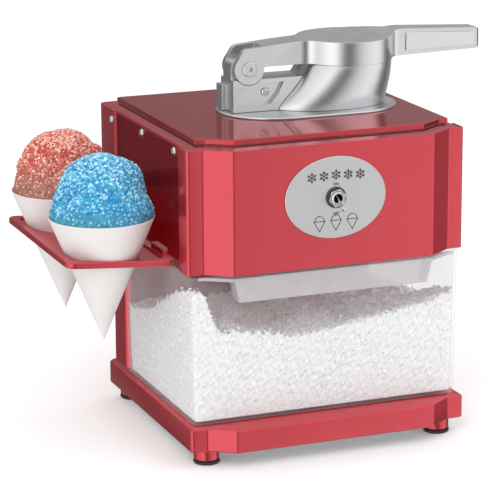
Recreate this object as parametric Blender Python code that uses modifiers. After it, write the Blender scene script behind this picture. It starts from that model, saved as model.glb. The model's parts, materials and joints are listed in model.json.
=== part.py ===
"""Countertop shaved ice machine with a press lever, drawer bin and cone tray.

Units are metres, +Z is up and the front of the machine faces -Y.  Driving
dimensions are in millimetres and are scaled once, in the mesh helpers.
"""
import math

import bmesh
import bpy
from mathutils import Matrix, Vector

MM = 0.001
GAP = 0.3

# The origin is the centre of the footprint: the tray and the lever reach past
# the body, so the body itself stands a little off the origin.
ORIGIN_X = -17.0
ORIGIN_Y = 0.3

# Upper housing
HALF_W = 127.0
STRIP_Y = -98.0
PROUD = 15.1
STRIP = 14.2
FACET = 21.8
FRONT_Y = STRIP_Y - PROUD
HOUSE_Z0 = 167.5
HOUSE_Z1 = 273.9
REAR_Y = 130.5
SHELL = 2.5
PANEL_X = 121.0
RETURN_Y = -78.0
REAR_RETURN_Y = 88.0
CREASE_R = 3.2
REAR_R = 7.0

# Top plate and its under step
TOP_HALF = 116.0
TOP_STRIP_Y = -88.6
TOP_STRIP = 8.4
TOP_FACET = 21.5
TOP_PROUD = 14.6
TOP_REAR = 112.6
TOP_Z0 = 276.4
TOP_Z1 = 281.2

# Base and feet
BASE_HALF = 127.5
BASE_STRIP_Y = -103.7
BASE_STRIP = 14.7
BASE_FACET = 21.3
BASE_PROUD = 15.4
BASE_REAR = 119.1
BASE_Z0 = 14.0
BASE_Z1 = 34.9
FOOT_X = 108.5
FOOT_R = 11.0
PAD_R = 11.4
FOOT_Y_FRONT = -89.2
FOOT_Y_REAR = 104.6

# Rear column
COL_HALF = 121.0
COL_Y0 = 80.0
COL_Y1 = 119.0

# Drawer bin
BIN_TOP_HALF = 124.2
BIN_FOOT_HALF = 122.6
BIN_Y0 = -98.0
BIN_Y1 = 78.0
BIN_Z0 = 35.2
BIN_Z1 = 165.3
BIN_WALL = 2.4
LIP_Y = -112.8
LIP_Z0 = 144.5

# Hopper, lever and pusher
HOP_X = 59.6
HOP_Y = 4.7
FLANGE_X = 23.3
FLANGE_HALF = 32.8
FLANGE_R = 49.0
FLANGE_T = 1.8
BOWL_R = 41.6
BOWL_Z0 = 283.6
BOWL_Z1 = 322.0
THROAT_R = 33.0
PIVOT_X = -36.0
PIVOT_Z = 320.8
PIN_R = 3.0
BRACKET_HALF = 15.0
TONGUE_HALF = 9.2
POCKET = 4.2
LEVER_HALF = 15.5
LEVER_SLOT_HALF = 9.6
FORK_FILLET = 14.0
GRIP_FILLET = 10.0
LID_R = 42.4
LID_Z0 = 322.3
GRIP_X1 = 187.4
GRIP_HALF = 11.0

# Grinder and drive
CHAMBER_R = 37.5
CHAMBER_IN = 34.5
CHAMBER_Z0 = 246.0
SHAFT_R = 4.0
DISC_R = 33.6
DISC_Z = 252.0
GEAR_TEETH = 36
PINION_TEETH = 12
MODULE = 1.5
GEAR_Z = 178.0
GEAR_T = 8.0
CENTRES = MODULE * (GEAR_TEETH + PINION_TEETH) / 2 + 0.4
MOTOR_R = 25.0
MOTOR_Z0 = 193.4
MOTOR_Z1 = 243.0

# Badge and toggle
BADGE_A = 46.0
BADGE_B = 35.2
BADGE_Z = 227.4
TOGGLE_DROP = math.radians(26.0)
TOGGLE_LEN = 17.0
TOGGLE_Y = -117.4

# Cone tray and cups
TRAY_X = -121.6
TRAY_Y = 34.0
TRAY_Z = 171.2
TRAY_W = 96.6
TRAY_L = 181.0
TRAY_TILT = math.radians(4.2)
TRAY_H = 5.4
CUP_R = 45.2
CUP_H = 110.4
CUP_RIM_Z = 207.3
CUP_WALL = 0.9
CUP_X = -176.0
CUP_YS = (-21.5, 88.5)

for old in list(bpy.data.objects):
    bpy.data.objects.remove(old, do_unlink=True)

PARTS = bpy.data.collections.new("shaved_ice_machine")
CUTTERS = bpy.data.collections.new("cutters")
for coll in (PARTS, CUTTERS):
    bpy.context.scene.collection.children.link(coll)

COLOURS = {
    "red": (0.50, 0.03, 0.045, 0.6, 0.25), "red_top": (0.30, 0.02, 0.03, 0.5, 0.12),
    "alloy": (0.62, 0.62, 0.63, 1.0, 0.35), "clear": (0.85, 0.87, 0.88, 0.0, 0.08),
    "frost": (0.86, 0.84, 0.85, 0.0, 0.5), "rubber": (0.02, 0.02, 0.02, 0.0, 0.8),
    "steel": (0.6, 0.6, 0.6, 1.0, 0.3), "dark": (0.05, 0.05, 0.055, 0.0, 0.5),
    "cup": (0.86, 0.85, 0.84, 0.0, 0.6), "brass": (0.6, 0.45, 0.2, 1.0, 0.35),
    "nylon": (0.8, 0.78, 0.72, 0.0, 0.45),
}


def at(x, y, z):
    """World position in metres of a point given in body millimetres."""
    return Vector(((x - ORIGIN_X) * MM, (y - ORIGIN_Y) * MM, z * MM))


def material(name, kind):
    """Principled material of its own for one node."""
    r, g, b, metal, rough = COLOURS[kind]
    mat = bpy.data.materials.new(name + "_mat")
    mat.use_nodes = True
    bsdf = mat.node_tree.nodes["Principled BSDF"]
    bsdf.inputs["Base Color"].default_value = (r, g, b, 1.0)
    bsdf.inputs["Metallic"].default_value = metal
    bsdf.inputs["Roughness"].default_value = rough
    return mat


def finish(name, mesh, kind, origin, turn=(0, 0, 0)):
    """Object for a mesh: a named part with its own material, or a hidden cutter."""
    ob = bpy.data.objects.new(name, mesh)
    ob.location = at(*origin)
    ob.rotation_euler = turn
    if kind:
        PARTS.objects.link(ob)
        mesh.materials.append(material(name, kind))
    else:
        CUTTERS.objects.link(ob)
        ob.hide_render = True
        ob.display_type = "WIRE"
    return ob


def box(name, x, y, z, kind=None, origin=(0, 0, 0)):
    """Axis-aligned block from three (low, high) pairs."""
    mesh = bpy.data.meshes.new(name)
    bm = bmesh.new()
    bmesh.ops.create_cube(bm, size=1.0)
    bmesh.ops.scale(bm, vec=[(hi - lo) * MM for lo, hi in (x, y, z)], verts=bm.verts)
    bmesh.ops.translate(bm, vec=[(hi + lo) / 2 * MM for lo, hi in (x, y, z)], verts=bm.verts)
    bm.to_mesh(mesh)
    bm.free()
    return finish(name, mesh, kind, origin)


PRISM_TURN = {"z": (0, 0, 0), "y": (math.pi / 2, 0, 0), "x": (math.pi / 2, 0, math.pi / 2)}


def prism(name, pts, lo, hi, kind=None, axis="z", origin=(0, 0, 0), hole=None):
    """Filled 2D outline extruded from lo to hi.

    Axis z takes (x, y) points, axis y takes (x, z) and axis x takes (y, z).
    """
    curve = bpy.data.curves.new(name, "CURVE")
    curve.dimensions = "2D"
    curve.fill_mode = "BOTH"
    curve.extrude = (hi - lo) / 2 * MM
    for outline in (pts, hole) if hole else (pts,):
        spline = curve.splines.new("POLY")
        spline.points.add(len(outline) - 1)
        for point, (a, b) in zip(spline.points, outline):
            point.co = (a * MM, b * MM, 0.0, 1.0)
        spline.use_cyclic_u = True
    source = bpy.data.objects.new(name + "_outline", curve)
    CUTTERS.objects.link(source)
    bpy.context.view_layer.update()
    mesh = bpy.data.meshes.new_from_object(source.evaluated_get(bpy.context.evaluated_depsgraph_get()))
    bpy.data.objects.remove(source, do_unlink=True)
    mesh.name = name
    mesh.materials.clear()
    middle = (lo + hi) / 2 if axis != "y" else -(lo + hi) / 2
    bm = bmesh.new()
    bm.from_mesh(mesh)
    bmesh.ops.remove_doubles(bm, verts=bm.verts, dist=0.00001)
    for side in (1, -1) if not hole else ():
        cap = [f for f in bm.faces if all(v.co.z * side > 0 for v in f.verts)]
        bmesh.ops.dissolve_faces(bm, faces=cap)
    bmesh.ops.translate(bm, vec=(0, 0, middle * MM), verts=bm.verts)
    bmesh.ops.recalc_face_normals(bm, faces=bm.faces)
    bm.to_mesh(mesh)
    bm.free()
    return finish(name, mesh, kind, origin, PRISM_TURN[axis])


def loft(name, rings, kind=None, origin=(0, 0, 0), loop=False):
    """Skin over unlike rings of equal point count; open ends are capped, a loop closes on itself."""
    n = len(rings[0])
    m = len(rings)
    mesh = bpy.data.meshes.new(name)
    bm = bmesh.new()
    rows = [[bm.verts.new([c * MM for c in p]) for p in ring] for ring in rings]
    for k in range(m if loop else m - 1):
        low = rows[k]
        high = rows[(k + 1) % m]
        for i in range(n):
            bm.faces.new((low[i], low[(i + 1) % n], high[(i + 1) % n], high[i]))
    if not loop:
        bm.faces.new(rows[0])
        bm.faces.new(rows[-1])
    bmesh.ops.recalc_face_normals(bm, faces=bm.faces)
    bm.to_mesh(mesh)
    bm.free()
    mesh.shade_smooth()
    mesh.set_sharp_from_angle(angle=math.radians(35))
    return finish(name, mesh, kind, origin)


SCREW_TURN = {"z": (0, 0, 0), "y": (-math.pi / 2, 0, 0), "x": (0, math.pi / 2, 0)}


def turned(name, profile, kind=None, origin=(0, 0, 0), seg=32, axis="z", ring=False):
    """Screw of a (radius, height) profile, closed on the axis, or on itself for a ring.

    The profile is put in the order that runs down its outer side, so faces point outwards.
    """
    line = list(profile)
    if not ring:
        line = [(0.0, line[0][1])] + line + [(0.0, line[-1][1])]
    pairs = zip(line, line[1:] + line[:1])
    if sum(r0 * h1 - r1 * h0 for (r0, h0), (r1, h1) in pairs) > 0:
        line.reverse()
    mesh = bpy.data.meshes.new(name)
    links = [(i, i + 1) for i in range(len(line) - 1)] + ([(len(line) - 1, 0)] if ring else [])
    mesh.from_pydata([(r * MM, 0.0, h * MM) for r, h in line], links, [])
    ob = finish(name, mesh, kind, origin, SCREW_TURN[axis])
    mod = ob.modifiers.new("turn", "SCREW")
    mod.axis = "Z"
    mod.angle = 2 * math.pi
    mod.steps = seg
    mod.render_steps = seg
    mod.use_merge_vertices = True
    mod.merge_threshold = 0.00001
    return ob


def rounded(hx, hy, r, cx=0.0, cy=0.0, steps=5):
    """Rounded rectangle outline."""
    pts = []
    for sx, sy, a0 in ((1, 1, 0), (-1, 1, 90), (-1, -1, 180), (1, -1, 270)):
        for i in range(steps + 1):
            t = math.radians(a0 + 90 * i / steps)
            pts.append((cx + sx * (hx - r) + r * math.cos(t), cy + sy * (hy - r) + r * math.sin(t)))
    return pts


def softened(pts, radius, steps, closed=False):
    """Path with each corner replaced by an arc of one radius; an open path keeps its ends."""
    out = []
    for i, corner in enumerate(pts):
        if not closed and i in (0, len(pts) - 1):
            out.append(corner)
            continue
        here = Vector(corner)
        back = (Vector(pts[i - 1]) - here).normalized()
        ahead = (Vector(pts[(i + 1) % len(pts)]) - here).normalized()
        half = back.angle(ahead) / 2
        middle = here + (back + ahead).normalized() * (radius / math.sin(half))
        start = here + back * (radius / math.tan(half)) - middle
        turn = back.angle_signed(ahead)
        sweep = math.copysign(math.pi - abs(turn), turn)
        for k in range(steps + 1):
            arm = start.copy()
            arm.rotate(Matrix.Rotation(sweep * k / steps, 2))
            out.append(tuple(middle + arm))
    return out


def faceted(half, strip_y, strip, facet, proud, rear, corner=0.0, crease=0.0):
    """Plan outline with a proud centre front between two facets and plain corner strips."""
    a = half - strip
    b = a - facet
    pts = [(-half, strip_y), (-a, strip_y), (-b, strip_y - proud), (b, strip_y - proud),
           (a, strip_y), (half, strip_y)]
    if crease:
        pts = softened([(-half, 0.0)] + pts + [(half, 0.0)], crease, 4)[1:-1]
    if corner:
        for sx, a0 in ((1, 0), (-1, 90)):
            for i in range(6):
                t = math.radians(a0 + 18 * i)
                pts.append((sx * (half - corner) + corner * math.cos(t),
                            rear - corner + corner * math.sin(t)))
    else:
        pts += [(half, rear), (-half, rear)]
    return pts


def offset_path(pts, d):
    """Open path moved sideways by d to its left, mitred at the corners."""
    out = []
    for i, p in enumerate(pts):
        dirs = []
        for q0, q1 in ((i - 1, i), (i, i + 1)):
            if q0 >= 0 and q1 < len(pts):
                v = Vector((pts[q1][0] - pts[q0][0], pts[q1][1] - pts[q0][1])).normalized()
                dirs.append(Vector((-v.y, v.x)))
        n = sum(dirs, Vector((0.0, 0.0))).normalized()
        out.append((p[0] + n.x * d / n.dot(dirs[0]), p[1] + n.y * d / n.dot(dirs[0])))
    return out


def boolean(ob, other, how="DIFFERENCE"):
    """Exact Boolean against a hidden operand."""
    mod = ob.modifiers.new(other.name, "BOOLEAN")
    mod.operation = how
    mod.solver = "EXACT"
    mod.object = other
    return ob


def bevel(ob, width, segments=1, angle=40):
    """Small edge round limited by angle."""
    mod = ob.modifiers.new("edge", "BEVEL")
    mod.width = width * MM
    mod.segments = segments
    mod.limit_method = "ANGLE"
    mod.angle_limit = math.radians(angle)
    return ob


def turns(count):
    """Angles of a full turn in equal steps."""
    return [2 * math.pi * i / count for i in range(count)]


def arc(cx, cz, r, a0, a1, steps):
    """Points on an arc, angles in degrees."""
    return [(cx + r * math.cos(math.radians(a0 + (a1 - a0) * i / steps)),
             cz + r * math.sin(math.radians(a0 + (a1 - a0) * i / steps))) for i in range(steps + 1)]


# ---------------------------------------------------------------- base and feet
def build_base():
    """Painted base, its bottom plate and the four feet with their pads."""
    outline = faceted(BASE_HALF, BASE_STRIP_Y, BASE_STRIP, BASE_FACET, BASE_PROUD, BASE_REAR, 9.0,
                      CREASE_R)
    base = prism("base", outline, BASE_Z0, BASE_Z1, "red")
    inner = faceted(BASE_HALF - 3, BASE_STRIP_Y + 3, BASE_STRIP - 1.8, BASE_FACET - 0.3,
                    BASE_PROUD, BASE_REAR - 3, 6.0)
    bevel(base, 1.6, 2)
    boolean(base, prism("base_hollow", inner, BASE_Z0 - 5, BASE_Z1 - 3.0))
    plate = faceted(BASE_HALF - 3.4, BASE_STRIP_Y + 3.4, BASE_STRIP - 2.0, BASE_FACET - 0.3,
                    BASE_PROUD, BASE_REAR - 3.4, 5.6)
    prism("base_bottom_plate", plate, BASE_Z0 + 0.2, BASE_Z0 + 2.2, "steel")
    for fy, tag in ((FOOT_Y_FRONT, "front"), (FOOT_Y_REAR, "rear")):
        for sx, side in ((-1, "left"), (1, "right")):
            turned("foot_%s_%s" % (tag, side),
                   [(FOOT_R - 1, 3.3), (FOOT_R, 4.2), (FOOT_R, 11.8), (FOOT_R - 1.2, 13.7)],
                   "red", (sx * FOOT_X, fy, 0), 28)
            turned("foot_pad_%s_%s" % (tag, side),
                   [(PAD_R - 1.0, 0.0), (PAD_R, 0.8), (PAD_R, 2.4), (PAD_R - 0.6, 3.0)],
                   "rubber", (sx * FOOT_X, fy, 0), 28)


# ---------------------------------------------------------------- column and housing
def build_housing():
    """Rear column, folded panels, side panels, decks, gasket and top plate."""
    column = prism("rear_column", [(-COL_HALF, COL_Y0 + 4), (-COL_HALF + 4, COL_Y0),
                                   (COL_HALF - 4, COL_Y0), (COL_HALF, COL_Y0 + 4),
                                   (COL_HALF, COL_Y1 - 5), (COL_HALF - 5, COL_Y1),
                                   (-COL_HALF + 5, COL_Y1), (-COL_HALF, COL_Y1 - 5)],
                   BASE_Z1 + GAP, HOUSE_Z0 + 0.2, "red")
    boolean(column, box("column_hollow", (-COL_HALF + 3, COL_HALF - 3), (COL_Y0 + 3, COL_Y1 - 3),
                        (BASE_Z1 - 5, HOUSE_Z0 + 9)))

    a = HALF_W - STRIP
    b = a - FACET
    front = [(-HALF_W, RETURN_Y), (-HALF_W, STRIP_Y), (-a, STRIP_Y), (-b, FRONT_Y), (b, FRONT_Y),
             (a, STRIP_Y), (HALF_W, STRIP_Y), (HALF_W, RETURN_Y)]
    folded = softened(front, CREASE_R, 4)
    fascia = prism("front_fascia", folded + offset_path(folded, SHELL)[::-1], HOUSE_Z0, HOUSE_Z1,
                   "red")
    boolean(fascia, turned("switch_hole", [(6.2, -130), (6.2, -90)], None, (0, 0, BADGE_Z), 24, "y"))

    path = softened([(HALF_W, REAR_RETURN_Y), (HALF_W, REAR_Y), (-HALF_W, REAR_Y),
                     (-HALF_W, REAR_RETURN_Y)], REAR_R, 6)
    cover = prism("rear_cover", path + offset_path(path, SHELL)[::-1], HOUSE_Z0, HOUSE_Z1, "red")
    for side in (-1, 1):
        for k in range(7):
            z = 190 + 8.5 * k
            boolean(cover, prism("vent_%d_%d" % (side, k),
                                 rounded(25, 1.8, 1.75, side * 60, z, 3), 120, 140, axis="y"))
    boolean(cover, turned("inlet_hole", [(9.3, 120), (9.3, 140)], None, (0, 0, 188.0), 24, "y"))
    turned("cord_inlet", [(8.9, 126.0), (8.9, 131.0), (12.0, 131.0), (11.0, 134.0), (4.0, 134.0),
                          (4.0, 126.0)], "rubber", (0, -0.2, 188.0), 24, "y", ring=True)

    for sx, tag in ((-1, "left"), (1, "right")):
        xs = sorted((sx * PANEL_X, sx * (PANEL_X - 2.0)))
        panel = box("side_panel_" + tag, xs, (-94.9, 124.0), (HOUSE_Z0 + 3.8, HOUSE_Z1 - 3.0), "red")
        if sx < 0:
            for k, ty in enumerate((TRAY_Y - 50, TRAY_Y + 30)):
                boolean(panel, box("tab_slot_%d" % k, (-125, -115), (ty - 16, ty + 16), (171.0, 176.0)))
        for k, (ty, tx) in enumerate(((-53.0, PANEL_X), (28.5, PANEL_X), (93.0, HALF_W))):
            tip = tx + GAP
            turned("side_screw_%s_%d" % (tag, k + 1),
                   [(3.4, sx * tip), (3.2, sx * (tip + 0.9)), (1.9, sx * (tip + 1.9)),
                    (0.9, sx * (tip + 2.1))], "steel", (0, ty, 265.0), 16, "x")

    side = PANEL_X - 2.0 - GAP
    inner = [(max(-side, min(side, px)), py) for px, py in offset_path(front, SHELL + 0.5)[1:-1]]
    inner += [(side, 127.0), (-side, 127.0)]
    deck = prism("motor_deck", inner, HOUSE_Z0 + 0.5, HOUSE_Z0 + 3.5, "red")
    boolean(deck, box("chute_hole", (HOP_X - 28, HOP_X + 28), (-60.5, -31.5), (150, 190)))
    wide = offset_path(front, SHELL + 0.5)[1:-1]
    wide += [(wide[-1][0], REAR_Y - 8.5), (wide[-1][0] - 4.6, REAR_Y - 3.2),
             (wide[0][0] + 4.6, REAR_Y - 3.2), (wide[0][0], REAR_Y - 8.5)]
    cap = prism("housing_deck", wide, HOUSE_Z1 - 2.7, HOUSE_Z1 - 0.1, "red")
    step = faceted(TOP_HALF - 1.5, TOP_STRIP_Y + 1.5, TOP_STRIP - 0.9, TOP_FACET - 0.2, TOP_PROUD,
                   TOP_REAR - 1.5)
    gasket = prism("top_gasket", step, HOUSE_Z1 + 0.2, TOP_Z0 - 0.3, "dark")
    plate = prism("top_plate", faceted(TOP_HALF, TOP_STRIP_Y, TOP_STRIP, TOP_FACET, TOP_PROUD,
                                       TOP_REAR, 2.0, 1.2), TOP_Z0, TOP_Z1, "red_top")
    bevel(plate, 0.8, 1)
    for ob in (cap, gasket, plate):
        boolean(ob, turned("throat_" + ob.name, [(CHAMBER_R + 0.5, 255), (CHAMBER_R + 0.5, 290)],
                           None, (HOP_X, HOP_Y, 0), 48))


# ---------------------------------------------------------------- badge and switch
def build_switch():
    """Oval badge with the toggle switch through it."""
    oval = [(BADGE_A * math.cos(t), BADGE_Z + BADGE_B * math.sin(t)) for t in turns(64)]
    badge = prism("badge_plate", oval, FRONT_Y - 1.6, FRONT_Y - GAP, "alloy", "y")
    bevel(badge, 0.5)
    boolean(badge, turned("badge_hole", [(6.2, -130), (6.2, -90)], None, (0, 0, BADGE_Z), 24, "y"))
    y0 = FRONT_Y - 1.9
    turned("switch_ring", [(6.2, y0), (9.2, y0), (9.0, y0 - 0.9), (6.2, y0 - 0.9)], "dark",
           (0, 0, BADGE_Z), 32, "y", ring=True)
    hexagon = [(8.0 * math.cos(t + 0.26), BADGE_Z + 8.0 * math.sin(t + 0.26)) for t in turns(6)]
    nut = prism("switch_nut", hexagon, y0 - 3.4, y0 - 1.2, "steel", "y")
    boolean(nut, turned("nut_hole", [(6.2, -130), (6.2, -90)], None, (0, 0, BADGE_Z), 24, "y"))
    turned("switch_bushing", [(5.8, -103.0), (5.8, y0 - 3.8), (5.0, y0 - 4.6), (4.1, y0 - 4.6),
                              (4.1, -103.0)], "steel", (0, 0, BADGE_Z), 24, "y", ring=True)
    box("switch_body", (-10, 10), (-102.7, -80), (BADGE_Z - 15, BADGE_Z + 15), "dark")
    lever = turned("switch_lever", [(1.5, -5.0), (1.6, 0.0), (1.3, 4.0), (2.1, TOGGLE_LEN - 4),
                                    (2.4, TOGGLE_LEN - 2), (2.0, TOGGLE_LEN - 0.5),
                                    (0.9, TOGGLE_LEN)], "steel", (0, TOGGLE_Y, BADGE_Z), 16)
    lever.rotation_euler = (math.radians(90) + TOGGLE_DROP, 0, 0)


# ---------------------------------------------------------------- hopper
def build_hopper():
    """Flange, slanted bowl and hinge bracket with its screw and pin."""
    outline = arc(FLANGE_X + FLANGE_HALF, HOP_Y, FLANGE_R, -90, 90, 24)
    outline += arc(FLANGE_X - FLANGE_HALF, HOP_Y, FLANGE_R, 90, 270, 24)
    flange = prism("hopper_flange", outline, TOP_Z1 + GAP, TOP_Z1 + GAP + FLANGE_T, "alloy")
    bevel(flange, 0.6, 1)
    boolean(flange, turned("flange_hole", [(THROAT_R, 270), (THROAT_R, 290)], None,
                           (HOP_X, HOP_Y, 0), 48))

    seg = 56
    rings = []
    levels = ((0.0, -13.0, 96.4, 36.6), (0.05, -12.6, 96.6, 36.9), (0.2, -7.5, 97.6, 38.2),
              (0.4, 0.6, 99.0, 39.6), (0.6, 7.6, 100.3, 40.7), (0.8, 13.4, 101.0, 41.3),
              (0.93, 17.0, 101.2, BOWL_R), (1.0, 18.6, 100.6, 41.0))
    for f, xl, xr, w in levels:
        cx = (xl + xr) / 2
        hx = (xr - xl) / 2
        rings.append([(cx + hx * math.cos(t), HOP_Y + w * math.sin(t), BOWL_Z0 + f * (BOWL_Z1 - BOWL_Z0))
                      for t in turns(seg)])
    for f, r in ((1.0, 38.2), (0.6, 36.8), (0.3, 35.0), (0.0, THROAT_R)):
        rings.append([(HOP_X + r * math.cos(t), HOP_Y + r * math.sin(t),
                       BOWL_Z0 + f * (BOWL_Z1 - BOWL_Z0)) for t in turns(seg)])
    loft("hopper_bowl", rings, "alloy", loop=True)

    z0 = BOWL_Z0
    web = [(-51, z0), (-51, PIVOT_Z - 9)] + arc(PIVOT_X, PIVOT_Z, 14.2, 219.5, 320.5, 10)
    web += [(16, PIVOT_Z - 9), (16, z0)]
    bracket = prism("hinge_bracket", web, HOP_Y - BRACKET_HALF, HOP_Y + BRACKET_HALF, "alloy", "y")
    tongue = [(-51, z0 + 6), (-24, z0 + 6), (-24, 321)]
    tongue += arc(-30.5, 321.5, 6.5, 0, 90, 4) + arc(-44.5, 321.5, 6.5, 90, 180, 4)
    boolean(bracket, prism("tongue", tongue, HOP_Y - TONGUE_HALF, HOP_Y + TONGUE_HALF, axis="y"), "UNION")
    boolean(bracket, box("heel", (-55.5, -50), (HOP_Y + 1, HOP_Y + BRACKET_HALF - 0.5), (z0, 306)),
            "UNION")
    pocket = arc(PIVOT_X, PIVOT_Z, 18.0, 240, 306, 6)
    pocket += [(-4, PIVOT_Z - 12.5), (-9, 298), (-17, 289), (-24, z0 + 4), (-47.5, z0 + 4),
               (-47.5, 303)]
    for sy, tag in ((-1, "front"), (1, "rear")):
        ys = sorted((HOP_Y + sy * (BRACKET_HALF - POCKET), HOP_Y + sy * (BRACKET_HALF + 3)))
        boolean(bracket, prism("pocket_" + tag, pocket, ys[0], ys[1], axis="y"))
    shell = []
    for f, xl, xr, w in levels:
        cx = (xl + xr) / 2
        hx = (xr - xl) / 2 + 0.55
        z = BOWL_Z0 + f * (BOWL_Z1 - BOWL_Z0) + {0.0: -1.0, 1.0: 1.0}.get(f, 0.0)
        shell.append([(cx + hx * math.cos(t), HOP_Y + (w + 0.55) * math.sin(t), z)
                      for t in turns(seg)])
    boolean(bracket, loft("bowl_clearance", shell))
    boolean(bracket, turned("pin_hole", [(PIN_R + GAP, -40), (PIN_R + GAP, 40)], None,
                            (PIVOT_X, HOP_Y, PIVOT_Z), 20, "y"))
    seat = -BRACKET_HALF + POCKET - GAP
    turned("bracket_screw", [(3.6, seat), (3.6, seat - 1.3), (2.6, seat - 2.3), (1.6, seat - 2.3),
                             (1.6, seat - 1.5)], "steel", (-20.0, HOP_Y, 299.6), 18, "y")
    turned("hinge_pin", [(1.9, -15.0), (1.9, -17.4), (5.6, -17.4), (6.6, -16.6), (6.6, -15.9),
                         (PIN_R, -15.9), (PIN_R, 16.2), (1.0, 16.2), (1.0, 15.2)], "steel",
           (PIVOT_X, HOP_Y, PIVOT_Z), 24, "y")
    turned("hinge_pin_cap", [(5.2, 16.5), (5.2, 17.6), (4.0, 18.4), (1.0, 18.4)], "steel",
           (PIVOT_X, HOP_Y, PIVOT_Z), 24, "y")


def lever_plan():
    """Half plan of the lever casting, front side: fork, fillet, disc, fillet and tapered grip."""
    fork_y = LEVER_HALF + FORK_FILLET
    grip_y = GRIP_HALF + GRIP_FILLET
    fork_x = HOP_X - math.sqrt((LID_R + FORK_FILLET) ** 2 - fork_y ** 2)
    grip_x = HOP_X + math.sqrt((LID_R + GRIP_FILLET) ** 2 - grip_y ** 2)
    fork_a = math.degrees(math.atan2(-fork_y, fork_x - HOP_X))
    grip_a = math.degrees(math.atan2(-grip_y, grip_x - HOP_X))
    pts = [(-60.0, -LEVER_HALF)] + arc(fork_x, -fork_y, FORK_FILLET, 90, fork_a + 180, 5)
    pts += arc(HOP_X, 0.0, LID_R, fork_a, grip_a, 22)[1:-1]
    pts += arc(grip_x, -grip_y, GRIP_FILLET, grip_a + 180, 90, 5)
    return pts + [(GRIP_X1 - 2.5, -GRIP_HALF + 1.4), (GRIP_X1, -GRIP_HALF + 3.6)]


def build_lever():
    """Lever casting: its side view cut to its plan, a fork slot, a grip inset and the pusher."""
    origin = (PIVOT_X, HOP_Y, PIVOT_Z)
    side = [(GRIP_X1, 325.4), (GRIP_X1 - 2.0, 324.0), (100, LID_Z0), (-21.5, LID_Z0)]
    side += arc(PIVOT_X, PIVOT_Z, 13.7, 2, -225, 20)
    side += [(-42.2, 336.4), (-39.5, 338.2), (-36.0, 338.7), (-10.0, 341.0), (9.0, 342.3),
             (24.0, 342.7), (48.0, 342.4), (76.0, 342.5), (90.0, 343.6), (100.0, 345.2),
             (108.0, 346.1), (114.0, 346.2), (GRIP_X1 - 2.0, 342.4), (GRIP_X1, 341.0)]
    side = [(x - PIVOT_X, z - PIVOT_Z) for x, z in side]
    lever = prism("press_lever", side, -LID_R - 5, LID_R + 5, "alloy", "y", origin)
    plan = [(x - PIVOT_X, y) for x, y in lever_plan()]
    plan += [(x, -y) for x, y in reversed(plan)]
    boolean(lever, prism("lever_plan", plan, -25, 40, None, "z", origin), "INTERSECT")
    x1 = GRIP_X1 - PIVOT_X
    g = GRIP_HALF
    slot = [(-60 - PIVOT_X, -25), (-22 - PIVOT_X, -25), (-22 - PIVOT_X, 30), (-60 - PIVOT_X, 30)]
    boolean(lever, prism("fork_slot", slot, -LEVER_SLOT_HALF, LEVER_SLOT_HALF, None, "y", origin))
    boolean(lever, turned("lever_pin_hole", [(PIN_R + GAP, -40), (PIN_R + GAP, 40)], None, origin, 20, "y"))
    x0 = 114 - PIVOT_X
    quad = [(x0, 326.4), (x1 - 6, 327.4), (x1 - 6, 339.2), (x0, 342.6)]
    inset = prism("handle_grip_panel", [(x, z - PIVOT_Z) for x, z in quad], -g - 1.1, -g - 0.3, "alloy",
                  "y", origin)
    bevel(inset, 0.3)
    turned("pusher", [(8.0, LID_Z0 - GAP - 14.6 - PIVOT_Z), (27.0, LID_Z0 - GAP - 16.0 - PIVOT_Z),
                      (31.0, LID_Z0 - GAP - 14.0 - PIVOT_Z), (33.5, LID_Z0 - GAP - 2 - PIVOT_Z),
                      (33.5, LID_Z0 - GAP - PIVOT_Z)], "nylon", (HOP_X, HOP_Y, PIVOT_Z), 48)


# ---------------------------------------------------------------- grinder and drive
def gear(name, teeth, bore, z, x, y, kind, phase=0.0):
    """Spur gear with straight-flanked teeth and generous backlash."""
    pitch = MODULE * teeth / 2
    step = 2 * math.pi / teeth
    pts = []
    for i in range(teeth):
        a = phase + i * step
        for r, k in ((pitch - 1.2 * MODULE, -0.30), (pitch, -0.20), (pitch + 0.85 * MODULE, -0.09),
                     (pitch + 0.85 * MODULE, 0.09), (pitch, 0.20), (pitch - 1.2 * MODULE, 0.30)):
            pts.append((r * math.cos(a + k * step), r * math.sin(a + k * step)))
    hole = [(bore * math.cos(t), bore * math.sin(t)) for t in turns(24)]
    return prism(name, pts, z, z + GEAR_T, kind, "z", (x, y, 0), hole)


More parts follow.
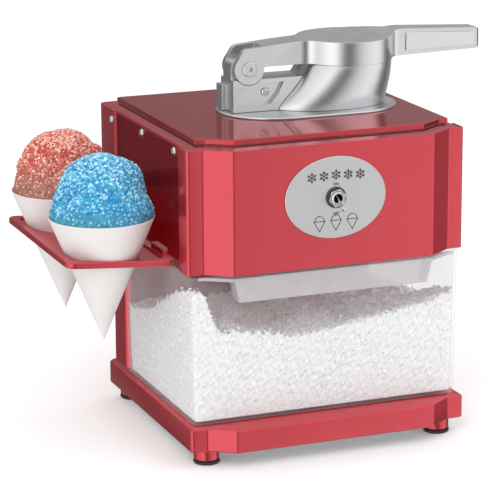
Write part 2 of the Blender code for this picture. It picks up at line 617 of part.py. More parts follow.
def build_drive():
    """Grinding chamber, chute, blades, shaft, gears and motor."""
    x = HOP_X
    y = HOP_Y
    top = TOP_Z1
    chamber = turned("grinding_chamber", [(8.3, CHAMBER_Z0), (CHAMBER_R, CHAMBER_Z0), (CHAMBER_R, top),
                                          (CHAMBER_IN, top), (CHAMBER_IN, CHAMBER_Z0 + 3),
                                          (8.3, CHAMBER_Z0 + 3)], "nylon", (x, y, 0), 48, ring=True)
    boolean(chamber, box("chamber_mouth", (x - 24, x + 24), (y - 31, y - 12), (CHAMBER_Z0 - 5,
                                                                             CHAMBER_Z0 + 4)))
    rings = []
    for z, dy in ((CHAMBER_Z0 - GAP, 0.0), (218.0, -28.5), (BIN_Z1 + 1.2, -28.5)):
        rings.append([(x + sx * 27, y + dy + yy, z) for sx, yy in ((-1, -34.5), (1, -34.5), (1, -9.7),
                                                                   (-1, -9.7))])
    for z, dy in ((BIN_Z1 + 1.2, -28.5), (218.0, -28.5), (CHAMBER_Z0 - GAP, 0.0)):
        rings.append([(x + sx * 25, y + dy + yy, z) for sx, yy in ((-1, -32.5), (1, -32.5), (1, -11.7),
                                                                   (-1, -11.7))])
    loft("ice_chute", rings, "nylon", loop=True)

    disc = turned("blade_disc", [(SHAFT_R + GAP, DISC_Z), (DISC_R, DISC_Z), (DISC_R, DISC_Z + 3),
                                 (SHAFT_R + GAP, DISC_Z + 3)], "steel", (x, y, 0), 48, ring=True)
    for k, ang in enumerate((0.0, math.pi)):
        slot = box("ice_slot_%d" % k, (9, 30), (2, 9), (DISC_Z - 3, DISC_Z + 6), None, (x, y, 0))
        slot.rotation_euler.z = ang
        boolean(disc, slot)
        blade = prism("blade_%s" % "ab"[k], [(1.0, -1.4), (9.5, 0.0), (9.5, 0.7), (1.0, 0.8)], 9.5, 29.5,
                      "steel", "x", (x, y, DISC_Z + 4.8))
        blade.rotation_euler.z += ang
    bore = (SHAFT_R + GAP) / math.cos(math.radians(30))
    turned("blade_nut", [(bore, DISC_Z + 3.3), (8.0, DISC_Z + 3.3), (8.0, DISC_Z + 7),
                         (bore, DISC_Z + 7)], "steel", (x, y, 0), 6, ring=True)
    turned("drive_shaft", [(SHAFT_R, 174.0), (SHAFT_R, DISC_Z + 9), (SHAFT_R - 1.5, DISC_Z + 11)],
           "steel", (x, y, 0), 20)
    turned("bearing_tube", [(SHAFT_R + GAP, 188.2), (8.0, 188.2), (8.0, CHAMBER_Z0 + 3.5),
                            (SHAFT_R + GAP, CHAMBER_Z0 + 3.5)], "brass", (x, y, 0), 24, ring=True)
    gear("drive_gear", GEAR_TEETH, SHAFT_R + GAP, GEAR_Z, x, y, "nylon", math.radians(90))
    my = y + CENTRES
    gear("motor_pinion", PINION_TEETH, 2.3, GEAR_Z, x, my, "steel", math.radians(-90 + 15))
    turned("motor_shaft", [(2.0, 175.0), (2.0, 214.0)], "steel", (x, my, 0), 16)
    turned("motor_can", [(2.5, MOTOR_Z0), (MOTOR_R - 1, MOTOR_Z0), (MOTOR_R, MOTOR_Z0 + 1),
                         (MOTOR_R, MOTOR_Z1 - 2), (MOTOR_R - 2, MOTOR_Z1), (9.0, MOTOR_Z1),
                         (9.0, 220.0), (2.5, 219.0)], "steel", (x, my, 0), 40, ring=True)
    case = box("gearbox_housing", (x - 36, x + 36), (-28.7, 62.0), (HOUSE_Z0 + 3.9, 193.0), "dark")
    boolean(case, box("gearbox_hollow", (x - 33.5, x + 33.5), (-26.2, 59.5), (160, 190.5)))
    boolean(case, turned("gearbox_bore", [(8.3, 185), (8.3, 200)], None, (x, y, 0), 24))
    boolean(case, turned("gearbox_motor_bore", [(6.0, 185), (6.0, 200)], None, (x, my, 0), 24))


# ---------------------------------------------------------------- drawer bin
def build_bin():
    """Open drawer bin and its lip with a finger pocket."""
    def ring(hx, y0, y1, r, z):
        """Rounded rectangle at one height."""
        hy = (y1 - y0) / 2
        cy = (y1 + y0) / 2
        return [(px, py, z) for px, py in rounded(hx, hy, r, 0, cy, 4)]
    t = BIN_WALL
    rings = [ring(BIN_FOOT_HALF - 1.6, BIN_Y0 + 2.6, BIN_Y1 - 2.6, 5, BIN_Z0),
             ring(BIN_FOOT_HALF, BIN_Y0 + 1.0, BIN_Y1 - 1.0, 6, BIN_Z0 + 1.6),
             ring(BIN_TOP_HALF, BIN_Y0, BIN_Y1, 6, BIN_Z1),
             ring(BIN_TOP_HALF - t, BIN_Y0 + t, BIN_Y1 - t, 4, BIN_Z1),
             ring(BIN_FOOT_HALF - t, BIN_Y0 + 1 + t, BIN_Y1 - 1 - t, 4, BIN_Z0 + t + 1.2),
             ring(BIN_FOOT_HALF - t - 1.5, BIN_Y0 + 2.5 + t, BIN_Y1 - 2.5 - t, 3, BIN_Z0 + t)]
    loft("ice_bin", rings, "clear")

    y0 = BIN_Y0 - GAP
    a = HALF_W - STRIP
    b = HALF_W - STRIP - FACET
    strip = [(-118.0, y0), (-118.0, y0 - 0.6), (-a, y0 - 0.6), (-b, LIP_Y), (b, LIP_Y),
             (a, y0 - 0.6), (118.0, y0 - 0.6), (118.0, y0)]
    handle = prism("bin_handle", strip, BIN_Z1 - 2.6, BIN_Z1, "frost")
    rings = [[(-86.5, y0, LIP_Z0), (-86.5, LIP_Y, LIP_Z0), (86.5, LIP_Y, LIP_Z0), (86.5, y0, LIP_Z0)],
             [(-b, y0, BIN_Z1 - 1.0), (-b, LIP_Y, BIN_Z1 - 1.0), (b, LIP_Y, BIN_Z1 - 1.0),
              (b, y0, BIN_Z1 - 1.0)]]
    boolean(handle, loft("lip_skirt", rings), "UNION")
    rings = [[(-84.4, y0 + 4, LIP_Z0 - 3), (-84.4, LIP_Y + 2.4, LIP_Z0 - 3), (84.4, LIP_Y + 2.4, LIP_Z0 - 3),
              (84.4, y0 + 4, LIP_Z0 - 3)],
             [(-88.2, y0 + 4, BIN_Z1 - 2.6), (-88.2, LIP_Y + 2.4, BIN_Z1 - 2.6),
              (88.2, LIP_Y + 2.4, BIN_Z1 - 2.6), (88.2, y0 + 4, BIN_Z1 - 2.6)]]
    boolean(handle, loft("lip_pocket", rings))


# ---------------------------------------------------------------- cone tray and cups
def build_tray():
    """Tray with its tabs and holes, and the two paper cones."""
    hx = TRAY_W / 2
    hy = TRAY_L / 2

    def tilt(ob):
        """Put a piece at the tray's place and slope."""
        ob.location = at(TRAY_X, TRAY_Y, TRAY_Z)
        ob.rotation_euler = (0, TRAY_TILT, 0)
        return ob
    tray = tilt(prism("cone_tray", rounded(hx, hy, 9, -hx, 0, 5), -TRAY_H, 0.0, "red"))
    bevel(tray, 0.8, 1)
    boolean(tray, tilt(prism("tray_dish", rounded(hx - 8, hy - 8, 6, -hx, 0, 4), -1.6, 4)))
    boolean(tray, tilt(prism("tray_under", rounded(hx - 3, hy - 3, 6, -hx, 0, 4), -TRAY_H - 4, -3.8)))
    boolean(tray, box("tray_notch", (-HALF_W - 0.5, -112), (REAR_RETURN_Y - 0.6, 135), (155, 190)))
    for k, ty in enumerate((-50, 30)):
        tab = box("tray_tab_%d" % k, (-125.0, -112.0), (TRAY_Y + ty - 15, TRAY_Y + ty + 15), (172.0, 174.6))
        leg = box("tray_leg_%d" % k, (-124.4, -121.8), (TRAY_Y + ty - 15, TRAY_Y + ty + 15), (167.0, 174.0))
        boolean(tray, leg, "UNION")
        boolean(tray, tab, "UNION")
    slope = CUP_R / CUP_H
    for k, (cy, tag) in enumerate(zip(CUP_YS, ("front", "rear"))):
        tip = CUP_RIM_Z - CUP_H
        boolean(tray, turned("cup_hole_%d" % k, [((150 - tip) * slope + 0.5, 150),
                                                 ((195 - tip) * slope + 0.5, 195)],
                             None, (CUP_X, cy, 0), 48))
        turned("cup_" + tag, [(1.2, -CUP_H), (CUP_R - 3 * slope, -3.0), (CUP_R, -0.6),
                              (CUP_R + 0.2, 0.0), (CUP_R - CUP_WALL, 0.0),
                              (CUP_R - CUP_WALL - 3 * slope, -3.0), (1.0, -CUP_H + 3.4)],
               "cup", (CUP_X, cy, CUP_RIM_Z), 48)


build_base()
build_housing()
build_switch()
build_hopper()
build_lever()
build_drive()
build_bin()
build_tray()
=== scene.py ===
"""Finished look of a countertop shaved ice machine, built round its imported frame.

Every length is in metres in the frame's own axes: +X to the machine's right as
seen from the front, -Y towards the user and +Z up.
"""
from __future__ import annotations

import json
import logging
import math
from dataclasses import dataclass, field
from enum import Enum
from typing import Any, Sequence

import bmesh
import bpy
import numpy as np
from mathutils import Matrix, Vector

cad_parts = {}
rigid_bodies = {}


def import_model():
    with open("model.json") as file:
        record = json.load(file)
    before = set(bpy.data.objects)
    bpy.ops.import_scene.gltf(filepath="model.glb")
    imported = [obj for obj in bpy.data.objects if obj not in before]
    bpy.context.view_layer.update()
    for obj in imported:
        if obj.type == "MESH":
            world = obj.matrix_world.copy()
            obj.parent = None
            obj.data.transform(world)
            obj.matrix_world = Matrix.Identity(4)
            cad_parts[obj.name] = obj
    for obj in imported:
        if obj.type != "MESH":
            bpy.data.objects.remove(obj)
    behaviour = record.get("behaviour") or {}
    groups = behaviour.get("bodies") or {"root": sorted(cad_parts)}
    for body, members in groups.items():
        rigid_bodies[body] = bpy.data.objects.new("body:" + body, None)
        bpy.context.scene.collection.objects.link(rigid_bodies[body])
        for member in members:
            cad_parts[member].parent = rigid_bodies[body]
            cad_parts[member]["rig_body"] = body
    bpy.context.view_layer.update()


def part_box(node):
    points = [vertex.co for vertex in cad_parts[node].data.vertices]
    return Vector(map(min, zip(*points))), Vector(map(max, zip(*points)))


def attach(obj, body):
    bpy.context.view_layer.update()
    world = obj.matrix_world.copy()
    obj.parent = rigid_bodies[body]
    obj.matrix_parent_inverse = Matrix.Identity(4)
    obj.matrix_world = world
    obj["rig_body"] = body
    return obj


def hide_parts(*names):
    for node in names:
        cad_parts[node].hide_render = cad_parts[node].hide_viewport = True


LOG = logging.getLogger("shaved_ice_machine")
MM = 0.001
Array = np.ndarray
Colour = tuple[float, float, float]
Faces = list[Sequence[int]]

# Sockets of a colour Mix node, which have the same name for every kind of value.
MIX_FACTOR, MIX_FIRST, MIX_SECOND, MIX_RESULT = 0, 6, 7, 2

GOLDEN = (1 + 5 ** 0.5) / 2
ICO_POINTS = np.array([
    (-1, GOLDEN, 0), (1, GOLDEN, 0), (-1, -GOLDEN, 0), (1, -GOLDEN, 0),
    (0, -1, GOLDEN), (0, 1, GOLDEN), (0, -1, -GOLDEN), (0, 1, -GOLDEN),
    (GOLDEN, 0, -1), (GOLDEN, 0, 1), (-GOLDEN, 0, -1), (-GOLDEN, 0, 1)])
ICO_SIDES = np.array([
    (0, 11, 5), (0, 5, 1), (0, 1, 7), (0, 7, 10), (0, 10, 11), (1, 5, 9), (5, 11, 4), (11, 10, 2),
    (10, 7, 6), (7, 1, 8), (3, 9, 4), (3, 4, 2), (3, 2, 6), (3, 6, 8), (3, 8, 9), (4, 9, 5),
    (2, 4, 11), (6, 2, 10), (8, 6, 7), (9, 8, 1)])


# ------------------------------------------------------------------ shader maths
class Sock:
    """A value on its way through a material, with arithmetic that adds Math nodes."""

    def __init__(self, tree: Tree, socket: Any) -> None:
        """Keep the socket and the tree that it belongs to."""
        self.tree = tree
        self.socket = socket

    def _math(self, operation: str, first: Any, second: Any) -> Sock:
        """Math node on two numbers or sockets."""
        return self.tree.node("ShaderNodeMath", {"operation": operation}, {0: first, 1: second})

    def __add__(self, other: Any) -> Sock:
        """Sum."""
        return self._math("ADD", self, other)

    def __radd__(self, other: Any) -> Sock:
        """Sum with the number first."""
        return self._math("ADD", other, self)

    def __sub__(self, other: Any) -> Sock:
        """Difference."""
        return self._math("SUBTRACT", self, other)

    def __rsub__(self, other: Any) -> Sock:
        """Difference with the number first."""
        return self._math("SUBTRACT", other, self)

    def __mul__(self, other: Any) -> Sock:
        """Product."""
        return self._math("MULTIPLY", self, other)

    def __rmul__(self, other: Any) -> Sock:
        """Product with the number first."""
        return self._math("MULTIPLY", other, self)

    def __pow__(self, other: Any) -> Sock:
        """Power."""
        return self._math("POWER", self, other)

    def __rpow__(self, other: Any) -> Sock:
        """Power of a number."""
        return self._math("POWER", other, self)

    def arctan2(self, other: Any) -> Sock:
        """Angle of the pair, in radians."""
        return self._math("ARCTAN2", self, other)

    def step(self, low: float, high: float) -> Sock:
        """Smooth step u^2 (3 - 2 u), where u runs from 0 at low to 1 at high.

        Args:
            low: Value up to which the step is 0.
            high: Value from which the step is 1.

        Returns:
            The step.
        """
        return self.tree.node(
            "ShaderNodeMapRange", {"interpolation_type": "SMOOTHSTEP"},
            {"Value": self, "From Min": low, "From Max": high})

    def beside(self, out: Any) -> Sock:
        """Another output of the same node."""
        return Sock(self.tree, self.socket.node.outputs[out])


class Tree:
    """Node tree with one method that makes any node."""

    def __init__(self, tree: Any) -> None:
        """Start from an empty tree."""
        self.tree = tree
        tree.nodes.clear()

    def put(self, socket: Any, value: Any) -> None:
        """Link a socket to another, or set its value.

        Args:
            socket: The input socket.
            value: A Sock to link, or a number, a tuple or a colour to set.
        """
        if isinstance(value, Sock):
            self.tree.links.new(value.socket, socket)
        elif isinstance(value, tuple) and len(value) == 3 and socket.type == "RGBA":
            socket.default_value = (*value, 1.0)
        else:
            socket.default_value = value

    def node(self, kind: str, settings: dict[str, Any] | None = None,
             values: dict[Any, Any] | None = None, out: Any = 0) -> Sock | None:
        """Add a node.

        Args:
            kind: The node's type name.
            settings: Its own settings; "stops" is a ramp's list of (position, colour).
            values: What goes on its input sockets, by name or number.
            out: The output that the result stands for.

        Returns:
            The chosen output, or None from a node that has none.
        """
        made = self.tree.nodes.new(kind)
        for name, value in (settings or {}).items():
            if name == "stops":
                ramp = made.color_ramp
                while len(ramp.elements) < len(value):
                    ramp.elements.new(0.5)
                for element, (place, colour) in zip(ramp.elements, value):
                    element.position = place
                    element.color = (*colour, 1.0)
            else:
                setattr(made, name, value)
        for name, value in (values or {}).items():
            self.put(made.inputs[name], value)
        return Sock(self, made.outputs[out]) if len(made.outputs) else None

    def blend(self, factor: Any, first: Any, second: Any) -> Sock:
        """Mix two colours.

        Args:
            factor: Share of the second, from 0 to 1.
            first: Colour at 0.
            second: Colour at 1.

        Returns:
            The mixed colour.
        """
        return self.node("ShaderNodeMix", {"data_type": "RGBA"},
                         {MIX_FACTOR: factor, MIX_FIRST: first, MIX_SECOND: second}, MIX_RESULT)

    def place(self, stretch: Sequence[float] = (1, 1, 1)) -> Sock:
        """Object coordinates, stretched."""
        point = self.node("ShaderNodeTexCoord", out="Object")
        return self.node("ShaderNodeMapping", None, {"Vector": point, "Scale": tuple(stretch)})

    def noise(self, scale: float, detail: float = 3.0, rough: float = 0.5,
              stretch: Sequence[float] = (1, 1, 1)) -> Sock:
        """Noise from 0 to 1.

        Args:
            scale: Cells to a metre.
            detail: Number of finer layers.
            rough: Share of its height that each finer layer keeps.
            stretch: Scale of each axis, under 1 to draw the noise out along it.

        Returns:
            The noise.
        """
        return self.node("ShaderNodeTexNoise", None,
                         {"Vector": self.place(stretch), "Scale": scale, "Detail": detail,
                          "Roughness": rough})

    def cells(self, scale: float, out: str = "Distance") -> Sock:
        """Voronoi cells, at so many a metre."""
        return self.node("ShaderNodeTexVoronoi", None,
                         {"Vector": self.place(), "Scale": scale}, out)

    def bump(self, height: Sock, strength: float, depth: float) -> Sock:
        """Normal from a height."""
        return self.node("ShaderNodeBump", None,
                         {"Height": height, "Strength": strength, "Distance": depth})


# ------------------------------------------------------------------ finishes
@dataclass(frozen=True)
class Finish:
    """A named finish, made into a material once and shared by its pieces."""

    name: str
    slot: str

    def fill(self, tree: Tree) -> dict[str, Any]:
        """Values for the Principled sockets."""
        raise NotImplementedError

    def material(self) -> bpy.types.Material:
        """Make the material, or find the one made before.

        Returns:
            The material.
        """
        found = bpy.data.materials.get(self.name)
        if found is None:
            found = bpy.data.materials.new(self.name)
            found.use_nodes = True
            tree = Tree(found.node_tree)
            shader = tree.node("ShaderNodeBsdfPrincipled", None, self.fill(tree))
            tree.node("ShaderNodeOutputMaterial", None, {"Surface": shader})
        return found


@dataclass(frozen=True)
class CandyPaint(Finish):
    """Metallic flake paint under clear lacquer, with a faint orange peel."""

    deep: Colour = (0.56, 0.040, 0.055)
    light: Colour = (0.66, 0.062, 0.082)
    rough: float = 0.30
    lacquer: float = 0.05
    metal: float = 0.74
    coat: float = 0.7
    sheen: Colour = (1.0, 0.42, 0.46)
    flake_scale: float = 2600.0
    drift_scale: float = 14.0
    peel_scale: float = 420.0

    def fill(self, tree: Tree) -> dict[str, Any]:
        """Flakes tint the colour and break up the sheen, and a slow drift livens the panels.

        Args:
            tree: The material's tree.

        Returns:
            Values by the name of the Principled socket.
        """
        flakes = tree.cells(self.flake_scale, "Color")
        drift = tree.noise(self.drift_scale, 2.0)
        peel = tree.noise(self.peel_scale, 2.0)
        grains = tree.node("ShaderNodeSeparateColor", None, {"Color": flakes})
        return {
            "Base Color": tree.blend(grains * 0.35 + drift * 0.65, self.deep, self.light),
            "Metallic": self.metal,
            "Roughness": self.rough - 0.05 + grains * 0.05 + drift * 0.05,
            "Specular Tint": self.sheen,
            "Coat Weight": self.coat,
            "Coat Roughness": self.lacquer,
            "Normal": tree.bump(peel, 0.10, 0.00006),
        }


@dataclass(frozen=True)
class Metal(Finish):
    """Bare metal with a directional polish and small casting marks."""

    dark: Colour = (0.60, 0.61, 0.62)
    light: Colour = (0.80, 0.81, 0.82)
    rough: float = 0.30
    spread: float = 0.10
    stretch: tuple[float, float, float] = (0.05, 0.05, 1.0)
    relief: float = 0.08
    line_scale: float = 1500.0
    cloud_scale: float = 38.0

    def fill(self, tree: Tree) -> dict[str, Any]:
        """Fine lines drawn out along the polish, over a slow cloudiness.

        Args:
            tree: The material's tree.

        Returns:
            Values by the name of the Principled socket.
        """
        lines = tree.noise(self.line_scale, 4.0, 0.6, self.stretch)
        cloud = tree.noise(self.cloud_scale, 3.0)
        return {
            "Base Color": tree.blend(lines * 0.55 + cloud * 0.45, self.dark, self.light),
            "Metallic": 1.0,
            "Roughness": self.rough + (lines - 0.5) * self.spread + (cloud - 0.5) * 0.08,
            "Normal": tree.bump(lines, self.relief, 0.00008),
        }


@dataclass(frozen=True)
class Moulded(Finish):
    """Moulded plastic or rubber with a fine eroded grain."""

    dark: Colour = (0.02, 0.02, 0.022)
    light: Colour = (0.045, 0.045, 0.048)
    rough: float = 0.45
    grain: float = 1800.0
    relief: float = 0.25
    drift_scale: float = 60.0

    def fill(self, tree: Tree) -> dict[str, Any]:
        """Grain from small cells, with the colour and sheen drifting slowly.

        Args:
            tree: The material's tree.

        Returns:
            Values by the name of the Principled socket.
        """
        grain = tree.cells(self.grain)
        drift = tree.noise(self.drift_scale, 3.0)
        return {
            "Base Color": tree.blend(drift * 0.7 + grain * 0.3, self.dark, self.light),
            "Roughness": self.rough + (drift - 0.5) * 0.16,
            "Normal": tree.bump(grain, self.relief, 0.00006),
        }


@dataclass(frozen=True)
class Clear(Finish):
    """See-through moulded plastic: hazy face on, brighter and denser where it turns away."""

    tint: Colour = (0.80, 0.80, 0.82)
    haze: float = 0.09
    edge: float = 0.42
    rough: float = 0.10
    pale: Colour = (0.93, 0.93, 0.94)
    rise: float = 2.2
    frost_scale: float = 55.0
    scuff_scale: float = 700.0

    def fill(self, tree: Tree) -> dict[str, Any]:
        """Alpha rises where the wall turns away, and a fine frost drifts over it.

        Args:
            tree: The material's tree.

        Returns:
            Values by the name of the Principled socket.
        """
        frost = tree.noise(self.frost_scale, 4.0, 0.6)
        scuff = tree.noise(self.scuff_scale, 3.0, 0.6, (1, 1, 0.12))
        facing = tree.node("ShaderNodeLayerWeight", None, {"Blend": 0.35}, "Facing")
        return {
            "Base Color": tree.blend(frost, self.tint, self.pale),
            "Roughness": self.rough + frost * 0.06 + scuff * 0.05,
            "Alpha": (facing ** self.rise) * self.edge + self.haze + (frost - 0.5) * 0.08,
            "Coat Weight": 1.0,
            "Coat Roughness": 0.03,
            "Normal": tree.bump(scuff, 0.03, 0.00005),
        }


@dataclass(frozen=True)
class Card(Finish):
    """Coated white paper with long faint fibres."""

    dark: Colour = (0.69, 0.67, 0.66)
    light: Colour = (0.755, 0.735, 0.725)
    fibre_scale: float = 1300.0
    tone_scale: float = 45.0

    def fill(self, tree: Tree) -> dict[str, Any]:
        """Fibres run down the cone; the tone and sheen vary slightly.

        Args:
            tree: The material's tree.

        Returns:
            Values by the name of the Principled socket.
        """
        fibre = tree.noise(self.fibre_scale, 4.0, 0.65, (1, 1, 0.18))
        tone = tree.noise(self.tone_scale, 3.0)
        return {
            "Base Color": tree.blend(fibre * 0.5 + tone * 0.5, self.dark, self.light),
            "Roughness": 0.52 + (fibre - 0.5) * 0.15,
            "Normal": tree.bump(fibre, 0.10, 0.00006),
        }


@dataclass(frozen=True)
class Ice(Finish):
    """Shaved ice: each crystal has its own tone from the mesh, under a wet sheen."""

    deep: Colour = (0.44, 0.47, 0.50)
    mid: Colour = (0.74, 0.745, 0.75)
    bright: Colour = (0.97, 0.97, 0.98)
    foot: Colour = (0.80, 0.78, 0.78)
    patch: float = 0.5
    glow: float = 0.12
    foot_z: tuple[float, float] = (0.03, 0.06)
    syrup_scale: float = 75.0
    fine_scale: float = 900.0

    def fill(self, tree: Tree) -> dict[str, Any]:
        """A per-crystal tone and slow patches of syrup pick the colour, with the foot colour
        blended in towards the bottom.

        Args:
            tree: The material's tree.

        Returns:
            Values by the name of the Principled socket.
        """
        tone = tree.node("ShaderNodeAttribute", {"attribute_name": "tone"}, None, "Fac")
        syrup = tree.noise(self.syrup_scale, 3.0, 0.6).step(0.36, 0.66)
        fine = tree.noise(self.fine_scale, 3.0, 0.6)
        body = tree.blend(tone.step(0.0, 0.62), self.deep, self.mid)
        body = tree.blend(syrup * self.patch * (1 - tone), body, self.deep)
        height = tree.node("ShaderNodeSeparateXYZ", None, {"Vector": tree.place()}, "Z")
        # Below foot_z the colour is blended towards the foot colour.
        foot_share = (1 - (height + (tone - 0.5) * 0.012).step(*self.foot_z)) * 0.75
        body = tree.blend(foot_share, body, self.foot)
        glint = (tone * 0.85 + fine * 0.35).step(0.48, 1.12)
        return {
            "Base Color": tree.blend(glint, body, self.bright),
            "Roughness": 0.20 + fine * 0.35,
            "Specular IOR Level": 0.6,
            "Subsurface Weight": self.glow,
            "Subsurface Radius": (0.002, 0.002, 0.002),
            "Normal": tree.bump(fine, 0.35, 0.0002),
        }


@dataclass(frozen=True)
class Ground(Finish):
    """Plain pale studio floor."""

    def fill(self, tree: Tree) -> dict[str, Any]:
        """Almost white, with a trace of unevenness.

        Args:
            tree: The material's tree.

        Returns:
            Values by the name of the Principled socket.
        """
        return {
            "Base Color": tree.blend(tree.noise(6.0), (0.93, 0.93, 0.93), (0.95, 0.95, 0.95)),
            "Roughness": 0.9,
            "Specular IOR Level": 0.1,
            "Emission Color": (1.0, 1.0, 1.0),
            "Emission Strength": 0.07,
        }


class Look(Enum):
    """The finishes of this machine."""

    PAINT = CandyPaint("candy_red_paint", "red_housing")
    # Darker copy of the red paint for the side panels: painted shade on the sides that face away
    # from the light.
    SIDE = CandyPaint("candy_red_side_painted_shade", "red_housing", (0.42, 0.020, 0.034), (0.50, 0.032, 0.048),
                      0.26, 0.05, 0.88, 0.35)
    TOP = CandyPaint("candy_red_top", "top_panel", (0.42, 0.028, 0.034), (0.50, 0.040, 0.046),
                     0.20, 0.02, 0.80, 0.7)
    STEP = CandyPaint("dark_red_step", "dark_plastic", (0.16, 0.012, 0.016), (0.22, 0.018, 0.024),
                      0.35, 0.10, 0.6, 0.3)
    CAST = Metal("cast_alloy_satin", "cast_alloy")
    GRIP = Metal("cast_alloy_inset", "cast_alloy", (0.80, 0.80, 0.81), (0.92, 0.92, 0.93), 0.42,
                 0.06, (1, 1, 1), 0.12)
    BADGE = Metal("brushed_badge", "badge", (0.57, 0.57, 0.57), (0.74, 0.74, 0.74), 0.34, 0.14,
                  (0.02, 1.0, 1.0), 0.10)
    STEEL = Metal("polished_steel", "steel", (0.55, 0.55, 0.56), (0.78, 0.78, 0.79), 0.16, 0.08,
                  (1, 1, 1), 0.05)
    BRASS = Metal("bearing_brass", "bearing_brass", (0.55, 0.40, 0.16), (0.75, 0.58, 0.27), 0.30,
                  0.10, (0.05, 0.05, 1.0), 0.05)
    DARK = Moulded("dark_plastic", "dark_plastic")
    NYLON = Moulded("natural_nylon", "nylon", (0.70, 0.68, 0.62), (0.82, 0.80, 0.75), 0.42, 1500.0,
                    0.12)
    RUBBER = Moulded("black_rubber", "rubber", (0.012, 0.012, 0.012), (0.035, 0.034, 0.033), 0.72,
                     1400.0, 0.4)
    INK = Moulded("printed_ink", "dark_plastic", (0.010, 0.010, 0.012), (0.03, 0.03, 0.034), 0.5,
                  2500.0, 0.1)
    BIN = Clear("clear_bin_plastic", "clear_plastic")
    # The frosted lip's grey-pink tint and pale tone are darkened as painted shade from the fascia
    # over it.
    LIP = Clear("frosted_lip_plastic_painted_shade", "frosted_plastic", (0.50, 0.465, 0.48), 0.62, 0.30, 0.24,
                (0.60, 0.575, 0.59))
    PAPER = Card("coated_paper", "cup_card")
    WHITE_ICE = Ice("white_ice", "frosted_plastic", patch=0.25, glow=0.2)
    BLUE_ICE = Ice("blue_ice", "cup_card", (0.004, 0.22, 0.50), (0.06, 0.50, 0.70),
                   (0.66, 0.90, 0.96), (0.04, 0.25, 0.38), 0.9, 0.10, (0.206, 0.222))
    RED_ICE = Ice("red_ice", "cup_card", (0.50, 0.036, 0.026), (0.70, 0.20, 0.13),
                  (0.98, 0.74, 0.64), (0.32, 0.16, 0.12), 0.8, 0.10, (0.210, 0.238))

    @property
    def finish(self) -> Finish:
        """The finish itself."""
        return self.value


# ------------------------------------------------------------------ mesh makers
def new_piece(name: str, points: Array, faces: Faces, look: Look, body: str,
              smooth: float | None = 40.0, outward: bool = True) -> bpy.types.Object:
    """Put arrays into a named piece that rides on a body.

    Args:
        name: The piece's name.
        points: Vertex positions, one row each.
        faces: Vertex numbers of each face.
        look: Its finish.
        body: The frame body that it moves with.
        smooth: Angle above which an edge stays sharp, or None for flat facets.
        outward: Whether its normals are worked out again.

    Returns:
        The piece's object, at the origin.
    """
    mesh = bpy.data.meshes.new(name)
    mesh.from_pydata(points.tolist(), [], faces)
    if outward:
        work = bmesh.new()
        work.from_mesh(mesh)
        bmesh.ops.recalc_face_normals(work, faces=work.faces)
        work.to_mesh(mesh)
        work.free()
    if smooth is not None:
        mesh.shade_smooth()
        mesh.set_sharp_from_angle(angle=math.radians(smooth))
    return enter(name, mesh, look, body)


def enter(name: str, mesh: bpy.types.Mesh, look: Look, body: str) -> bpy.types.Object:
    """Link a mesh as a piece with its finish and body.

    Args:
        name: The piece's name.
        mesh: Its mesh, already in its place.
        look: Its finish.
        body: The frame body that it moves with.

    Returns:
        The piece's object.
    """
    mesh.materials.clear()
    mesh.materials.append(look.finish.material())
    piece = bpy.data.objects.new(name, mesh)
    bpy.context.scene.collection.objects.link(piece)
    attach(piece, body)
    LOG.info("%s: %d faces on %s", name, len(mesh.polygons), body)
    return piece


def skin(rings: Array) -> tuple[Array, Faces]:
    """Closed skin over stacked rings.

    Neighbouring rings are joined by quads, point by point, and the first and the
    last are each shut by a fan of triangles to their mean point.

    Args:
        rings: Points as (ring, point round the ring, axis).

    Returns:
        Vertex positions and faces.
    """
    count, around = rings.shape[:2]
    index = np.arange(count * around).reshape(count, around)
    low, high = index[:-1], index[1:]
    quads = np.stack([low, np.roll(low, -1, 1), np.roll(high, -1, 1), high], -1)
    faces = quads.reshape(-1, 4).tolist()
    for k, ring in enumerate((index[0], index[-1])):
        centre = np.full(around, count * around + k)
        faces += np.stack([ring, np.roll(ring, -1), centre], -1).tolist()
    return np.vstack([rings.reshape(-1, 3), rings[0].mean(0), rings[-1].mean(0)]), faces


def ease(share: Array) -> Array:
    """Smooth step u^2 (3 - 2 u) of a share held between 0 and 1."""
    u = np.clip(share, 0, 1)
    return u * u * (3 - 2 * u)


def ripple(points: Array, size: float, seed: int, waves: int = 14) -> Array:
    """Smooth random field of about -1 to 1.

    It is 2.2 times the mean of sin(pitch (way . point) + phase) over waves along
    random ways, whose lengths are 0.6 to 1.4 of the size.

    Args:
        points: Positions, one row each.
        size: Middle wavelength in metres.
        seed: Seed of the draws.
        waves: Number of sines.

    Returns:
        The field at each point.
    """
    draw = np.random.default_rng(seed)
    way = draw.normal(size=(waves, 3))
    way /= np.linalg.norm(way, axis=1, keepdims=True)
    phase = draw.uniform(0, 2 * np.pi, waves)
    pitch = draw.uniform(0.7, 1.6, waves) * 2 * np.pi / size
    return np.sin(points @ way.T * pitch + phase).mean(1) * 2.2


